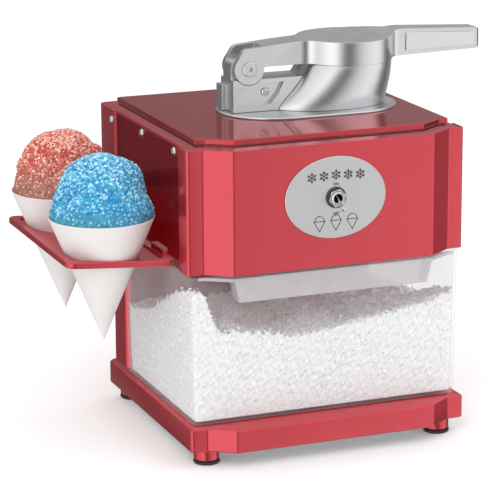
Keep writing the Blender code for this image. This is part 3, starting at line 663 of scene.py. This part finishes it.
def crystals(centres: Array, sizes: Array, seed: int) -> tuple[Array, Array, Array]:
    """Small twenty-sided crystals, each turned and squashed its own way.

    A crystal's points are centre + turn @ (icosahedron * size * squash).

    Args:
        centres: Middle of each crystal.
        sizes: Radius of each crystal.
        seed: Seed of the draws.

    Returns:
        Vertex positions, faces and each vertex's tone from 0 to 1.
    """
    draw = np.random.default_rng(seed)
    unit = ICO_POINTS / np.linalg.norm(ICO_POINTS[0])
    many = len(centres)
    turn, _ = np.linalg.qr(draw.normal(size=(many, 3, 3)))
    turn *= np.sign(np.linalg.det(turn))[:, None, None]
    squash = draw.uniform(0.65, 1.25, (many, 1, 3))
    local = unit[None] * squash * sizes[:, None, None]
    points = centres[:, None] + np.einsum("nij,nkj->nki", turn, local)
    faces = ICO_SIDES[None] + (np.arange(many) * len(unit))[:, None, None]
    tone = np.repeat(draw.uniform(0, 1, many) ** 0.9, len(unit))
    return points.reshape(-1, 3), faces.reshape(-1, 3), tone


def give_tone(piece: bpy.types.Object, tone: Array) -> None:
    """Store a tone for each vertex."""
    layer = piece.data.attributes.new("tone", "FLOAT", "POINT")
    layer.data.foreach_set("value", tone.astype(np.float32))


def dress(node: str, look: Look, edge: float = 0.0, sharp: float = 30.0) -> bpy.types.Object:
    """Merged copy of a frame node with smooth shading and rounded edges, in its place.

    Args:
        node: The frame node.
        look: Its finish.
        edge: Width of the rounding in metres, or 0 for none.
        sharp: Angle in degrees above which an edge is kept and rounded.

    Returns:
        The piece that stands for the node.
    """
    source = bpy.data.objects[node]
    mesh = bpy.data.meshes.new(node + "_finished")
    work = bmesh.new()
    work.from_mesh(source.data)
    bmesh.ops.remove_doubles(work, verts=work.verts, dist=0.000002)
    if edge:
        bmesh.ops.dissolve_limit(work, angle_limit=math.radians(0.8), verts=work.verts,
                                 edges=work.edges)
    work.to_mesh(mesh)
    work.free()
    if "custom_normal" in mesh.attributes:
        mesh.attributes.remove(mesh.attributes["custom_normal"])
    mesh.shade_smooth()
    mesh.set_sharp_from_angle(angle=math.radians(sharp))
    piece = enter(node + "_finished", mesh, look, source["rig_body"])
    if edge:
        mod = piece.modifiers.new("rounded_edges", "BEVEL")
        mod.width = edge
        mod.segments = 3
        mod.limit_method = "ANGLE"
        mod.angle_limit = math.radians(sharp)
        mod.harden_normals = True
    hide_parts(node)
    return piece


# ------------------------------------------------------------------ housing
@dataclass
class Housing:
    """Base, feet, column, painted panels, top plate and the gear inside."""

    edge: float = 0.9 * MM
    fine: float = 0.4 * MM
    panels: tuple[str, ...] = ("front_fascia", "rear_cover", "rear_column", "base", "motor_deck",
                               "housing_deck")
    small: dict[str, Look] = field(default_factory=lambda: {
        "base_bottom_plate": Look.STEEL, "top_gasket": Look.STEP, "cord_inlet": Look.RUBBER,
        "grinding_chamber": Look.NYLON, "ice_chute": Look.NYLON, "blade_disc": Look.STEEL,
        "blade_a": Look.STEEL, "blade_b": Look.STEEL, "blade_nut": Look.STEEL,
        "drive_shaft": Look.STEEL, "bearing_tube": Look.BRASS, "drive_gear": Look.NYLON,
        "motor_pinion": Look.STEEL, "motor_shaft": Look.STEEL, "motor_can": Look.STEEL,
        "gearbox_housing": Look.DARK})

    def build(self) -> None:
        """Dress every piece of the body.

        The housing doesn't show in gloss, so the castings mirror the pale studio.
        """
        shown = [dress(node, Look.PAINT, self.edge) for node in self.panels]
        # The side panels take the darker copy of the red paint, which paints their shade.
        for side in ("left", "right"):
            shown.append(dress("side_panel_" + side, Look.SIDE, self.fine))
        shown.append(dress("top_plate", Look.TOP, self.fine))
        shown += [dress(node, look) for node, look in self.small.items()]
        for piece in shown:
            piece.visible_glossy = False
        for end in ("front", "rear"):
            for side in ("left", "right"):
                dress(f"foot_{end}_{side}", Look.PAINT, self.fine)
                dress(f"foot_pad_{end}_{side}", Look.RUBBER, self.fine)


class Recess(Enum):
    """Driver recess in a screw head, by the number of its arms or sides."""

    CROSS = 4
    HEX = 6


@dataclass
class ScrewHead:
    """Domed screw head over a frame node, with a driver recess.

    The height over the seat is H * sqrt(1 - (r/R)^2 * 0.86) less a recess, whose
    depth falls off smoothly at the edge of a cross or a hexagon.
    """

    node: str
    axis: tuple[int, int, int]
    recess: Recess
    rings: int = 22
    around: int = 72
    first_angle: float = 0.35
    centre_share: float = 0.03
    slot_half: float = 0.16
    reach: float = 0.58
    hex_half: float = 0.36
    soft: float = 0.022
    bulge: float = 0.86
    depth: float = 0.75
    least: float = 0.12

    def build(self) -> None:
        """Make the head and let it stand for the node."""
        low, high = (np.array(corner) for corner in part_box(self.node))
        out = np.array(self.axis, float)
        main = int(np.argmax(np.abs(out)))
        first, second = np.delete(np.eye(3), main, 0)
        height = (high - low)[main]
        radius = np.delete(high - low, main).max() / 2
        seat = (low + high) / 2 - out * height / 2
        r = np.linspace(1.0, self.centre_share, self.rings)[:, None] * np.ones(self.around)
        t = np.linspace(0, 2 * np.pi, self.around, endpoint=False)[None] + self.first_angle
        x, y = r * np.cos(t), r * np.sin(t)
        sunk = 1 / (1 + np.exp(self.outside(x, y, r) / self.soft))
        dome = height * (np.sqrt(1 - self.bulge * r ** 2) - self.depth * sunk)
        dome = np.maximum(dome, height * self.least)[..., None] * out
        flat = seat + radius * (x[..., None] * first + y[..., None] * second)
        points, faces = skin(np.concatenate([flat[:1], flat + dome]))
        piece = new_piece(self.node + "_finished", points, faces, Look.STEEL,
                          bpy.data.objects[self.node]["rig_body"], 38.0)
        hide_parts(self.node)

    def outside(self, x: Array, y: Array, r: Array) -> Array:
        """Distance outside the recess's outline, below 0 in the recess.

        A cross is the nearer of two bars, cut off at its reach; a hexagon is the
        farthest of its three pairs of sides.

        Args:
            x: Place along the first side axis, as a share of the radius.
            y: Place along the second.
            r: Distance from the middle.

        Returns:
            The distance at each place, as a share of the radius.
        """
        if self.recess is Recess.CROSS:
            inner = np.minimum(np.abs(x), np.abs(y)) - self.slot_half
            return np.maximum(inner, r - self.reach)
        sides = [np.abs(x * math.cos(a) + y * math.sin(a))
                 for a in (0.0, math.pi / 3, 2 * math.pi / 3)]
        return np.max(sides, axis=0) - self.hex_half


# ------------------------------------------------------------------ badge
@dataclass
class Badge:
    """Brushed badge with its toggle switch, plain icons and generic switch marks."""

    edge: float = 0.35 * MM
    relief: float = 0.12 * MM
    root: float = 0.1 * MM
    stroke: float = 0.55 * MM
    flake: float = 4.3 * MM
    twigs: tuple[tuple[float, float], ...] = ((0.45, 0.30), (0.72, 0.24))
    twig_lean: float = 0.95
    letter: float = 3.4 * MM
    flake_x: tuple[int, ...] = (-22, -11, 0, 11, 22)
    flake_z: float = 19.5
    flake_fall: float = 0.05
    cone_x: tuple[int, ...] = (-15, 0, 15)
    cone_z: float = -21.0
    words: tuple[tuple[str, float], ...] = (("ON", 11.4), ("OFF", -13.9))

    def build(self) -> None:
        """Dress the switch and print the marks."""
        dress("badge_plate", Look.BADGE, self.edge)
        dress("switch_body", Look.DARK)
        dress("switch_bushing", Look.STEEL)
        dress("switch_nut", Look.STEEL, self.edge)
        dress("switch_ring", Look.DARK)
        dress("switch_lever", Look.STEEL, sharp=50.0)
        low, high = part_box("badge_plate")
        centre = (low + high) / 2
        face = low.y - 0.05 * MM
        for k, dx in enumerate(self.flake_x):
            dz = self.flake_z - abs(dx) * self.flake_fall
            self.print_strokes(f"badge_flake_{k}", self.snowflake(),
                               (centre.x + dx * MM, centre.z + dz * MM), face)
        for k, dx in enumerate(self.cone_x):
            self.print_strokes(f"badge_cone_{k}", self.cone(),
                               (centre.x + dx * MM, centre.z + self.cone_z * MM), face)
        for word, dz in self.words:
            self.letters(word, (centre.x, centre.z + dz * MM), face)

    def snowflake(self) -> Array:
        """Draw six arms, each with two pairs of side twigs.

        Returns:
            Segments as (segment, start or end, axis).
        """
        turn = np.arange(6) * np.pi / 3 + np.pi / 2
        way = np.stack([np.cos(turn), np.sin(turn)], -1)
        segments = [np.stack([way * 0.0, way * self.flake], 1)]
        for share, twig in self.twigs:
            for lean in (-self.twig_lean, self.twig_lean):
                tilt = np.stack([np.cos(turn + lean), np.sin(turn + lean)], -1)
                root = way * self.flake * share
                segments.append(np.stack([root, root + tilt * self.flake * twig], 1))
        return np.concatenate(segments)

    def cone(self) -> Array:
        """Draw the outline of a paper cone under a round heap.

        Returns:
            Segments as (segment, start or end, axis).
        """
        t = np.linspace(0, np.pi, 11)
        heap = np.stack([4.3 * np.cos(t), 4.6 * np.sin(t) + 1.4], -1)
        cup = np.array([(-5.0, 1.4), (5.0, 1.4), (0.0, -7.4), (-5.0, 1.4)])
        return np.concatenate([np.stack([p[:-1], p[1:]], 1) for p in (heap, cup)]) * MM

    def print_strokes(self, name: str, segments: Array, place: tuple[float, float],
                      face: float) -> None:
        """Raise each segment as a round-ended stroke on the badge.

        A stroke's outline is a stadium: half circles of half the stroke's width
        round both ends, sunk a little in the badge's face and one relief in front.

        Args:
            name: The piece's name.
            segments: Segments as (segment, start or end, axis).
            place: Middle of the drawing, as x and z.
            face: The badge's face, as y.
        """
        start, end = segments[:, 0], segments[:, 1]
        way = end - start
        heading = np.arctan2(way[:, 1], way[:, 0])
        t = np.linspace(-np.pi / 2, np.pi / 2, 6)

        def bow(centre: Array, angle: Array) -> Array:
            """Half circle round each end."""
            a = angle[:, None] + t
            return centre[:, None] + self.stroke / 2 * np.stack([np.cos(a), np.sin(a)], -1)

        outline = np.concatenate([bow(end, heading), bow(start, heading + np.pi)], 1)
        many, around = outline.shape[:2]
        rings = np.zeros((many, 2, around, 3))
        rings[..., 0] = outline[:, None, :, 0] + place[0]
        rings[:, 0, :, 1] = face + self.root
        rings[:, 1, :, 1] = face - self.relief
        rings[..., 2] = outline[:, None, :, 1] + place[1]
        skins = [skin(ring) for ring in rings]
        points = np.vstack([p for p, _ in skins])
        step = len(skins[0][0])
        faces = [[v + k * step for v in side] for k, (_, sides) in enumerate(skins)
                 for side in sides]
        new_piece(name, points, faces, Look.INK, "machine", 30.0)

    def letters(self, word: str, place: tuple[float, float], face: float) -> None:
        """Small raised switch mark, turned to stand upright and face the user.

        Args:
            word: The mark.
            place: Its middle, as x and z.
            face: The badge's face, as y.
        """
        curve = bpy.data.curves.new("mark_" + word, "FONT")
        curve.body = word
        curve.size = self.letter
        curve.align_x = "CENTER"
        curve.align_y = "CENTER"
        curve.extrude = self.relief / 2
        curve.offset = 0.05 * MM
        text = bpy.data.objects.new("mark_source", curve)
        bpy.context.scene.collection.objects.link(text)
        bpy.context.view_layer.update()
        mesh = bpy.data.meshes.new_from_object(
            text.evaluated_get(bpy.context.evaluated_depsgraph_get()))
        bpy.data.objects.remove(text, do_unlink=True)
        mesh.transform(Matrix.Translation((place[0], face - self.relief / 2, place[1]))
                       @ Matrix.Rotation(math.pi / 2, 4, "X"))
        enter("mark_" + word.lower(), mesh, Look.INK, "machine")


# ------------------------------------------------------------------ hopper and lever
@dataclass
class Hopper:
    """Cast hopper, hinge bracket and press lever."""

    cast_edge: float = 0.9 * MM
    bowl_edge: float = 0.5 * MM
    fine_edge: float = 0.3 * MM

    def build(self) -> None:
        """Dress the castings and their screws."""
        dress("hopper_flange", Look.CAST, self.bowl_edge)
        dress("hopper_bowl", Look.CAST, self.bowl_edge, 38.0)
        dress("hinge_bracket", Look.CAST, self.cast_edge)
        dress("press_lever", Look.CAST, self.cast_edge, 32.0)
        dress("handle_grip_panel", Look.GRIP, self.fine_edge)
        dress("pusher", Look.NYLON, sharp=40.0)
        dress("hinge_pin", Look.STEEL, self.fine_edge)
        dress("hinge_pin_cap", Look.STEEL, self.fine_edge)
        ScrewHead("bracket_screw", (0, -1, 0), Recess.HEX).build()
        for side, sign in (("left", -1), ("right", 1)):
            for k in (1, 2, 3):
                ScrewHead(f"side_screw_{side}_{k}", (sign, 0, 0), Recess.CROSS).build()


# ------------------------------------------------------------------ bin
@dataclass
class IceBin:
    """Clear drawer bin with its frosted lip and the shaved ice in it.

    The ice is one closed body.  Its wall rings follow the bin's inside, and over
    them its surface runs in to the middle at a height h(x, y), which blends the
    lines left against the walls into a hummocky middle.  The lines, the middle's
    height and fall, and the start and width of each band where they blend are in
    millimetres of the machine's drawing.  Hummocks and crumbs are a gain in
    millimetres, a wavelength in metres and a seed.
    """

    wall: float = 2.75 * MM
    floor: float = 3.0 * MM
    corner: float = 4 * MM
    taper: float = 0.011
    around: int = 620
    rise: int = 44
    across: int = 56
    pinch: float = 0.985
    pit: float = 0.9 * MM
    grain: float = 1.0 * MM
    middle_y: float = -10.0
    front_x: tuple[float, ...] = (-121, -114, -108, -96, -85, -60, -35, -10, 15, 40, 70, 100, 121)
    front_z: tuple[float, ...] = (155, 143, 121, 113, 115, 110, 104, 105, 109, 113, 117, 122, 129)
    left_y: tuple[float, ...] = (-98, -85, -60, -47, -30, -5, 20, 63, 78)
    left_z: tuple[float, ...] = (154.5, 151, 143, 139, 130, 119, 108, 98, 97)
    middle_z: float = 116
    fall: float = 0.10
    front_band: tuple[float, float] = (-96, 60)
    left_band: tuple[float, float] = (-121.4, 26)
    hummocks: tuple[tuple[float, float, int], ...] = ((7.0, 0.075, 5), (3.5, 0.026, 6))
    crumbs: tuple[tuple[float, float, int], ...] = ((2.2, 0.009, 7), (1.5, 0.0036, 8))
    wall_crystals: int = 7000
    top_crystals: int = 2300
    stray_share: float = 0.06
    stray_height: float = 1.2 * MM
    back_gap: float = 10 * MM
    rim_z: float = 0.13
    seed: int = 21
    low: Array = field(init=False)
    high: Array = field(init=False)
    mid: Array = field(init=False)

    def build(self) -> None:
        """Dress the bin and fill it."""
        dress("ice_bin", Look.BIN, 0.4 * MM, 40.0)
        # The lip's darkened grey-pink is painted shade under the fascia.
        dress("bin_handle", Look.LIP, 0.5 * MM)
        self.low, self.high = (np.array(c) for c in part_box("ice_bin"))
        self.mid = (self.low + self.high) / 2
        self.fill()
        self.scatter()

    def inside(self, turn: Array) -> Array:
        """Plan of the ice at the wall: a rounded rectangle, followed by arc length.

        Args:
            turn: Shares of the way round, from 0 to 1.

        Returns:
            Places as x and y.
        """
        hx, hy = ((self.high - self.low) / 2 - self.wall)[:2]
        r = self.corner
        span = np.array([2 * hx - 2 * r, math.pi / 2 * r, 2 * hy - 2 * r, math.pi / 2 * r] * 2)
        ends = np.concatenate([[0.0], np.cumsum(span)])
        s = turn * ends[-1]
        k = np.clip(np.searchsorted(ends, s, "right") - 1, 0, 7)
        f = (s - ends[k]) / span[k]
        corner = np.array([(hx - r, r - hy), (hx - r, hy - r), (r - hx, hy - r), (r - hx, r - hy)])
        side = k // 2
        way = np.array([(1, 0), (0, 1), (-1, 0), (0, -1)])[side]
        off = np.array([(0, -1), (1, 0), (0, 1), (-1, 0)])[side]
        straight = corner[(side + 3) % 4] + off * r + way * (f * span[k])[:, None]
        a = -np.pi / 2 + side * np.pi / 2 + f * np.pi / 2
        bend = corner[side] + r * np.stack([np.cos(a), np.sin(a)], -1)
        return np.where((k % 2 == 0)[:, None], straight, bend) + self.mid[:2]

    def line(self, plan: Array) -> Array:
        """Height of the ice: wall lines blended into a hummocky middle.

        Args:
            plan: Places as x and y.

        Returns:
            The height at each place.
        """
        x = (plan[:, 0] - self.mid[0]) / MM
        y = (plan[:, 1] - self.mid[1]) / MM + self.middle_y
        flat = np.column_stack([plan, np.zeros(len(plan))])
        height = self.middle_z - (y - self.left_y[0]) * self.fall
        for gain, size, seed in self.hummocks:
            height = height + gain * ripple(flat, size, seed)
        near = ease((y - self.front_band[0]) / self.front_band[1])
        height = np.interp(x, self.front_x, self.front_z) * (1 - near) + height * near
        beside = ease((x - self.left_band[0]) / self.left_band[1])
        height = np.interp(y, self.left_y, self.left_z) * (1 - beside) + height * beside
        for gain, size, seed in self.crumbs:
            height = height + gain * ripple(flat, size, seed)
        return height * MM

    def drawn_in(self, plan: Array, share: Any) -> Array:
        """Places moved to a share of their distance from the middle."""
        return self.mid[:2] + (plan - self.mid[:2]) * share

    def fill(self) -> None:
        """The body of ice: rings up the walls, then rings in to the middle, all pitted."""
        plan = self.inside(np.linspace(0, 1, self.around, endpoint=False))
        top = self.line(plan)
        floor = self.low[2] + self.floor
        rows = []
        for s in np.linspace(0, 1, self.rise):
            at = self.drawn_in(plan, 1 - self.taper * (1 - s))
            rows.append(np.column_stack([at, floor + (top - floor) * s]))
        for s in np.linspace(0, 1, self.across)[1:]:
            at = self.drawn_in(plan, 1 - self.pinch * s)
            rows.append(np.column_stack([at, self.line(at)]))
        rings = np.array(rows)
        points = rings.reshape(-1, 3)
        inward = (np.append(self.mid[:2], 0.09) - points) * np.array([1, 1, 0.2])
        inward /= np.linalg.norm(inward, axis=1, keepdims=True)
        pit = 0.5 + 0.5 * np.clip(ripple(points, 0.0032, 11), -1, 1)
        pit += 0.35 * np.clip(ripple(points, 0.0075, 12), 0, 1)
        points = points + inward * (pit * self.pit)[:, None]
        points, faces = skin(points.reshape(rings.shape))
        piece = new_piece("bin_ice", points, faces, Look.WHITE_ICE, "bin", 60.0)
        give_tone(piece, np.clip(0.62 + 0.3 * ripple(points, 0.004, 13), 0, 1))

    def scatter(self) -> None:
        """Loose crystals against the three walls that show and over the top."""
        draw = np.random.default_rng(self.seed)
        plan = self.inside(draw.uniform(0, 1, self.wall_crystals))
        plan = plan[plan[:, 1] < self.high[1] - self.back_gap]
        many = len(plan)
        top = self.line(plan)
        floor = self.low[2] + self.floor
        height = floor + (top - floor) * draw.uniform(0, 1, many) ** 0.8
        stray = draw.uniform(0, 1, many) < self.stray_share
        height = np.where(stray, top + draw.exponential(self.stray_height, many), height)
        taper = 1 - self.taper * (1 - (height - floor) / (self.rim_z - floor)) - 0.006
        walls = np.column_stack([self.drawn_in(plan, taper[:, None]), height])
        spread = draw.uniform(0.03, 0.97, (self.top_crystals, 2))
        flat = self.low[:2] + spread * (self.high - self.low)[:2]
        tops = np.column_stack([flat, self.line(flat) + 0.2 * MM])
        centres = np.vstack([walls, tops])
        sizes = draw.uniform(0.55, 1.25, len(centres)) * self.grain
        points, faces, tone = crystals(centres, sizes, self.seed + 1)
        piece = new_piece("bin_ice_crystals", points, faces.tolist(), Look.WHITE_ICE, "bin", None,
                          False)
        give_tone(piece, tone * 0.7 + 0.3)


# ------------------------------------------------------------------ tray and cones
@dataclass
class Heap:
    """Paper cone filled with a rounded heap of coloured ice.

    The heap's radius at a share t of its height is R (1 - 0.33 t) (1 - t^5)^0.38,
    with slow lumps, and crystals sit all over it.
    """

    node: str
    body: str
    look: Look
    seed: int
    height: float = 52.5 * MM
    around: int = 150
    rise: int = 56
    many: int = 5600
    paper: float = 0.8 * MM
    lap: float = 0.28 * MM
    sunk: float = 1.5 * MM
    inset: float = 1.4 * MM
    centre: Array = field(init=False)
    radius: float = field(init=False)
    rim: float = field(init=False)
    tip: float = field(init=False)

    def build(self) -> None:
        """The cone, its heap and the crystals."""
        low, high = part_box(self.node)
        self.centre = np.array((low + high) / 2)
        self.radius = (high.x - low.x) / 2
        self.rim = high.z
        self.tip = low.z
        self.cone()
        self.heap()
        self.sprinkle()

    def cone(self) -> None:
        """Wrapped paper cone with a rolled rim.

        The radius runs straight to the tip, and the wall thins evenly once round,
        so it steps by the lap at its seam.
        """
        t = np.linspace(0, 2 * np.pi, 120, endpoint=False)
        lap = self.lap * (1 - t / (2 * np.pi))
        tall = self.rim - 0.9 * MM - self.tip
        outer = [(self.tip + tall * d, self.radius * d - 0.2 * MM)
                 for d in (1.0, 0.97, 0.8, 0.5, 0.2, 0.06, 0.012)]
        bead = [(self.rim + dz * MM, self.radius - dr * MM)
                for dz, dr in ((-0.6, 0.0), (0.0, 0.1), (0.2, 0.6), (-0.2, 1.1))]
        inner = [(z + self.paper, r - self.paper) for z, r in outer[:6]]
        profile = np.array(outer[::-1] + bead + inner + [(self.tip + 3.4 * MM, 0.5 * MM)])
        z, r = profile[:, :1], profile[:, 1:]
        reach = r + lap * np.minimum(1, r / 0.01)
        rings = np.stack([self.centre[0] + reach * np.cos(t), self.centre[1] + reach * np.sin(t),
                          z + 0 * reach], -1)
        points, faces = skin(rings)
        piece = new_piece(self.node + "_finished", points, faces, Look.PAPER, self.body, 50.0)
        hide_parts(self.node)

    def surface(self, t: Array, angle: Array) -> Array:
        """Points of the heap.

        Args:
            t: Shares of its height, from 0 to 1.
            angle: Angles round it, in an array of the same shape.

        Returns:
            The points, with the axis last.
        """
        reach = (self.radius - self.inset) * (1 - 0.33 * t) * np.clip(1 - t ** 5, 0, 1) ** 0.38
        points = np.stack([self.centre[0] + reach * np.cos(angle),
                           self.centre[1] + reach * np.sin(angle),
                           self.rim - self.sunk + self.height * t], -1)
        flat = points.reshape(-1, 3)
        out = flat - np.append(self.centre[:2], self.rim)
        out /= np.linalg.norm(out, axis=1, keepdims=True)
        free = np.clip(t.reshape(-1) * 6, 0, 1)
        lump = 2.0 * ripple(flat, 0.036, self.seed) + 1.0 * ripple(flat, 0.012, self.seed + 1)
        return (flat + out * (lump * free * MM)[:, None]).reshape(points.shape)

    def own_piece(self, name: str, points: Array, faces: Faces, tone: Array,
                  smooth: float | None) -> None:
        """Enter ice of this heap, hidden from gloss.

        Args:
            name: Last part of the piece's name.
            points: Vertex positions, one row each.
            faces: Vertex numbers of each face.
            tone: Each vertex's tone.
            smooth: Angle above which an edge stays sharp, or None for crystals.
        """
        piece = new_piece("heap_" + self.node.replace("cup_", "") + name, points, faces, self.look,
                          self.body, smooth, smooth is not None)
        give_tone(piece, np.clip(tone, 0, 1))
        piece.visible_glossy = False

    def heap(self) -> None:
        """Pitted body of the heap, with rings closer together at its crown."""
        angle = np.linspace(0, 2 * np.pi, self.around, endpoint=False)
        crown = 1 - 0.1 * np.linspace(1, 0.0001, 12) ** 2.5
        share = np.concatenate([np.linspace(0, 0.9, self.rise - 12, endpoint=False), crown])
        rings = self.surface(*np.meshgrid(share, angle, indexing="ij"))
        pit = ripple(rings.reshape(-1, 3), 0.0038, self.seed + 2).reshape(rings.shape[:2])
        rings[..., 2] += pit * 0.35 * MM
        points, faces = skin(rings)
        self.own_piece("", points, faces, 0.30 + 0.25 * ripple(points, 0.005, self.seed + 3), 60.0)

    def sprinkle(self) -> None:
        """Crystals all over the heap, a third of them near its crown, their tone raised with height
        as painted light on the crown.
        """
        draw = np.random.default_rng(self.seed)
        high = draw.uniform(0, 1, self.many)
        high = np.where(draw.uniform(0, 1, self.many) < 0.35, 1 - 0.12 * high ** 2, high)
        high = 0.055 + 0.945 * high
        centres = self.surface(high, draw.uniform(0, 2 * np.pi, self.many))
        sizes = draw.uniform(0.85, 1.65, self.many) * MM
        points, faces, tone = crystals(centres, sizes, self.seed + 5)
        # Painted light and shade: crystals high on the heap get a lighter tone, low ones a darker
        # one.
        crown_light_share = np.clip((points[:, 2] - self.rim) / self.height, 0, 1)
        self.own_piece("_crystals", points, faces.tolist(), tone * (0.72 + 0.3 * crown_light_share), None)


@dataclass
class Tray:
    """Painted cone tray and the two filled cones in it."""

    edge: float = 0.6 * MM

    def build(self) -> None:
        """Dress the tray and fill its cones."""
        dress("cone_tray", Look.PAINT, self.edge)
        Heap("cup_front", "cup_front_body", Look.BLUE_ICE, 31).build()
        Heap("cup_rear", "cup_rear_body", Look.RED_ICE, 47).build()


# ------------------------------------------------------------------ studio
@dataclass
class Studio:
    """Camera, pale floor, soft lamps and the surround that gloss shows.

    The surround is a ring of tones by compass angle from the front, with a bright
    ceiling over it.  Only gloss sees it: all else sees an even white.
    """

    camera_at: tuple[float, float, float] = (-0.77588, -1.92295, 0.69650)
    yaw: float = -21.5825
    pitch: float = -14.6087
    roll: float = -0.2972
    sensor: float = 36.0
    lens: float = 174.44484
    ring: tuple[tuple[float, float], ...] = (
        (-180, 0.20), (-158, 0.12), (-128, 0.45), (-100, 0.95), (-72, 1.25), (-56, 1.5), (-42, 1.5),
        (-32, 0.75), (-22, 0.14), (-6, 0.12), (7, 0.55), (18, 0.80), (30, 0.98), (64, 1.2),
        (80, 1.0), (86, 0.15), (108, 0.10), (128, 0.45), (150, 0.36), (164, 0.22), (180, 0.20))
    ceiling: float = 1.05
    ambient: float = 1.04
    horizon: tuple[float, float] = (0.27, 0.62)
    strength: float = 1.95
    lamps: tuple[tuple[str, tuple[float, float, float], float, float], ...] = (
        ("key_softbox", (-1.3, -1.5, 1.7), 1.1, 15.0), ("fill_softbox", (1.5, -0.9, 1.2), 1.3, 5.0))
    aim: tuple[float, float, float] = (0, 0, 0.18)
    reach: float = 30.0

    def build(self) -> None:
        """Set the stage."""
        self.camera()
        self.floor()
        self.surround()
        for name, place, size, power in self.lamps:
            self.lamp(name, place, size, power)
        bpy.context.scene.view_settings.view_transform = "Standard"

    def camera(self) -> None:
        """Camera that is turned by yaw, tipped by pitch, then rolled."""
        data = bpy.data.cameras.new("view")
        data.lens = self.lens
        data.sensor_width = self.sensor
        data.clip_end = 2 * self.reach
        eye = bpy.data.objects.new("view", data)
        bpy.context.scene.collection.objects.link(eye)
        turn = (Matrix.Rotation(math.radians(self.yaw), 4, "Z")
                @ Matrix.Rotation(math.radians(90 + self.pitch), 4, "X")
                @ Matrix.Rotation(math.radians(self.roll), 4, "Z"))
        eye.matrix_world = Matrix.Translation(self.camera_at) @ turn
        bpy.context.scene.camera = eye

    def floor(self) -> None:
        """Large pale floor, which gloss doesn't mirror."""
        mesh = bpy.data.meshes.new("studio_floor")
        corners = [(x * self.reach, y * self.reach, 0)
                   for x, y in ((-1, -1), (1, -1), (1, 1), (-1, 1))]
        mesh.from_pydata(corners, [], [(0, 1, 2, 3)])
        mesh.materials.append(Ground("pale_floor", "").material())
        ground = bpy.data.objects.new("studio_floor", mesh)
        bpy.context.scene.collection.objects.link(ground)
        ground.visible_glossy = False

    def surround(self) -> None:
        """World that is an even white but for what gloss sees."""
        world = bpy.data.worlds.new("studio")
        bpy.context.scene.world = world
        world.use_nodes = True
        tree = Tree(world.node_tree)
        way = tree.node("ShaderNodeTexCoord", out="Generated")
        x = tree.node("ShaderNodeSeparateXYZ", None, {"Vector": way}, "X")
        compass = x.arctan2(x.beside("Y") * -1) * (1 / (2 * math.pi)) + 0.5
        stops = [((a + 180) / 360, (v / self.strength,) * 3) for a, v in self.ring]
        tone = tree.node("ShaderNodeValToRGB", {"stops": stops}, {"Fac": compass})
        up = x.beside("Z").step(*self.horizon)
        gloss = tree.blend(up, tone, (self.ceiling / self.strength,) * 3)
        seen = tree.node("ShaderNodeLightPath", out="Is Glossy Ray")
        colour = tree.blend(seen, (self.ambient / self.strength,) * 3, gloss)
        sky = tree.node("ShaderNodeBackground", None, {"Color": colour, "Strength": self.strength})
        tree.node("ShaderNodeOutputWorld", None, {"Surface": sky})

    def lamp(self, name: str, place: tuple[float, float, float], size: float, power: float) -> None:
        """Square soft lamp aimed at the machine, which gloss doesn't mirror.

        Args:
            name: The lamp's name.
            place: Where it hangs.
            size: Its side.
            power: Its power in watts.
        """
        data = bpy.data.lights.new(name, "AREA")
        data.size = size
        data.energy = power
        lamp = bpy.data.objects.new(name, data)
        bpy.context.scene.collection.objects.link(lamp)
        lamp.location = place
        aim = Vector(self.aim) - Vector(place)
        lamp.rotation_euler = aim.to_track_quat("-Z", "Y").to_euler()
        lamp.visible_glossy = False


def main() -> None:
    """Build the machine round its frame and set the studio."""
    logging.basicConfig(level=logging.INFO, format="%(message)s")
    for old in list(bpy.data.objects):
        bpy.data.objects.remove(old, do_unlink=True)
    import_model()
    Studio().build()
    for part in (Housing(), Badge(), Hopper(), IceBin(), Tray()):
        part.build()
        LOG.info("%s built", type(part).__name__)
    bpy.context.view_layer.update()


if __name__ == "__main__":
    main()
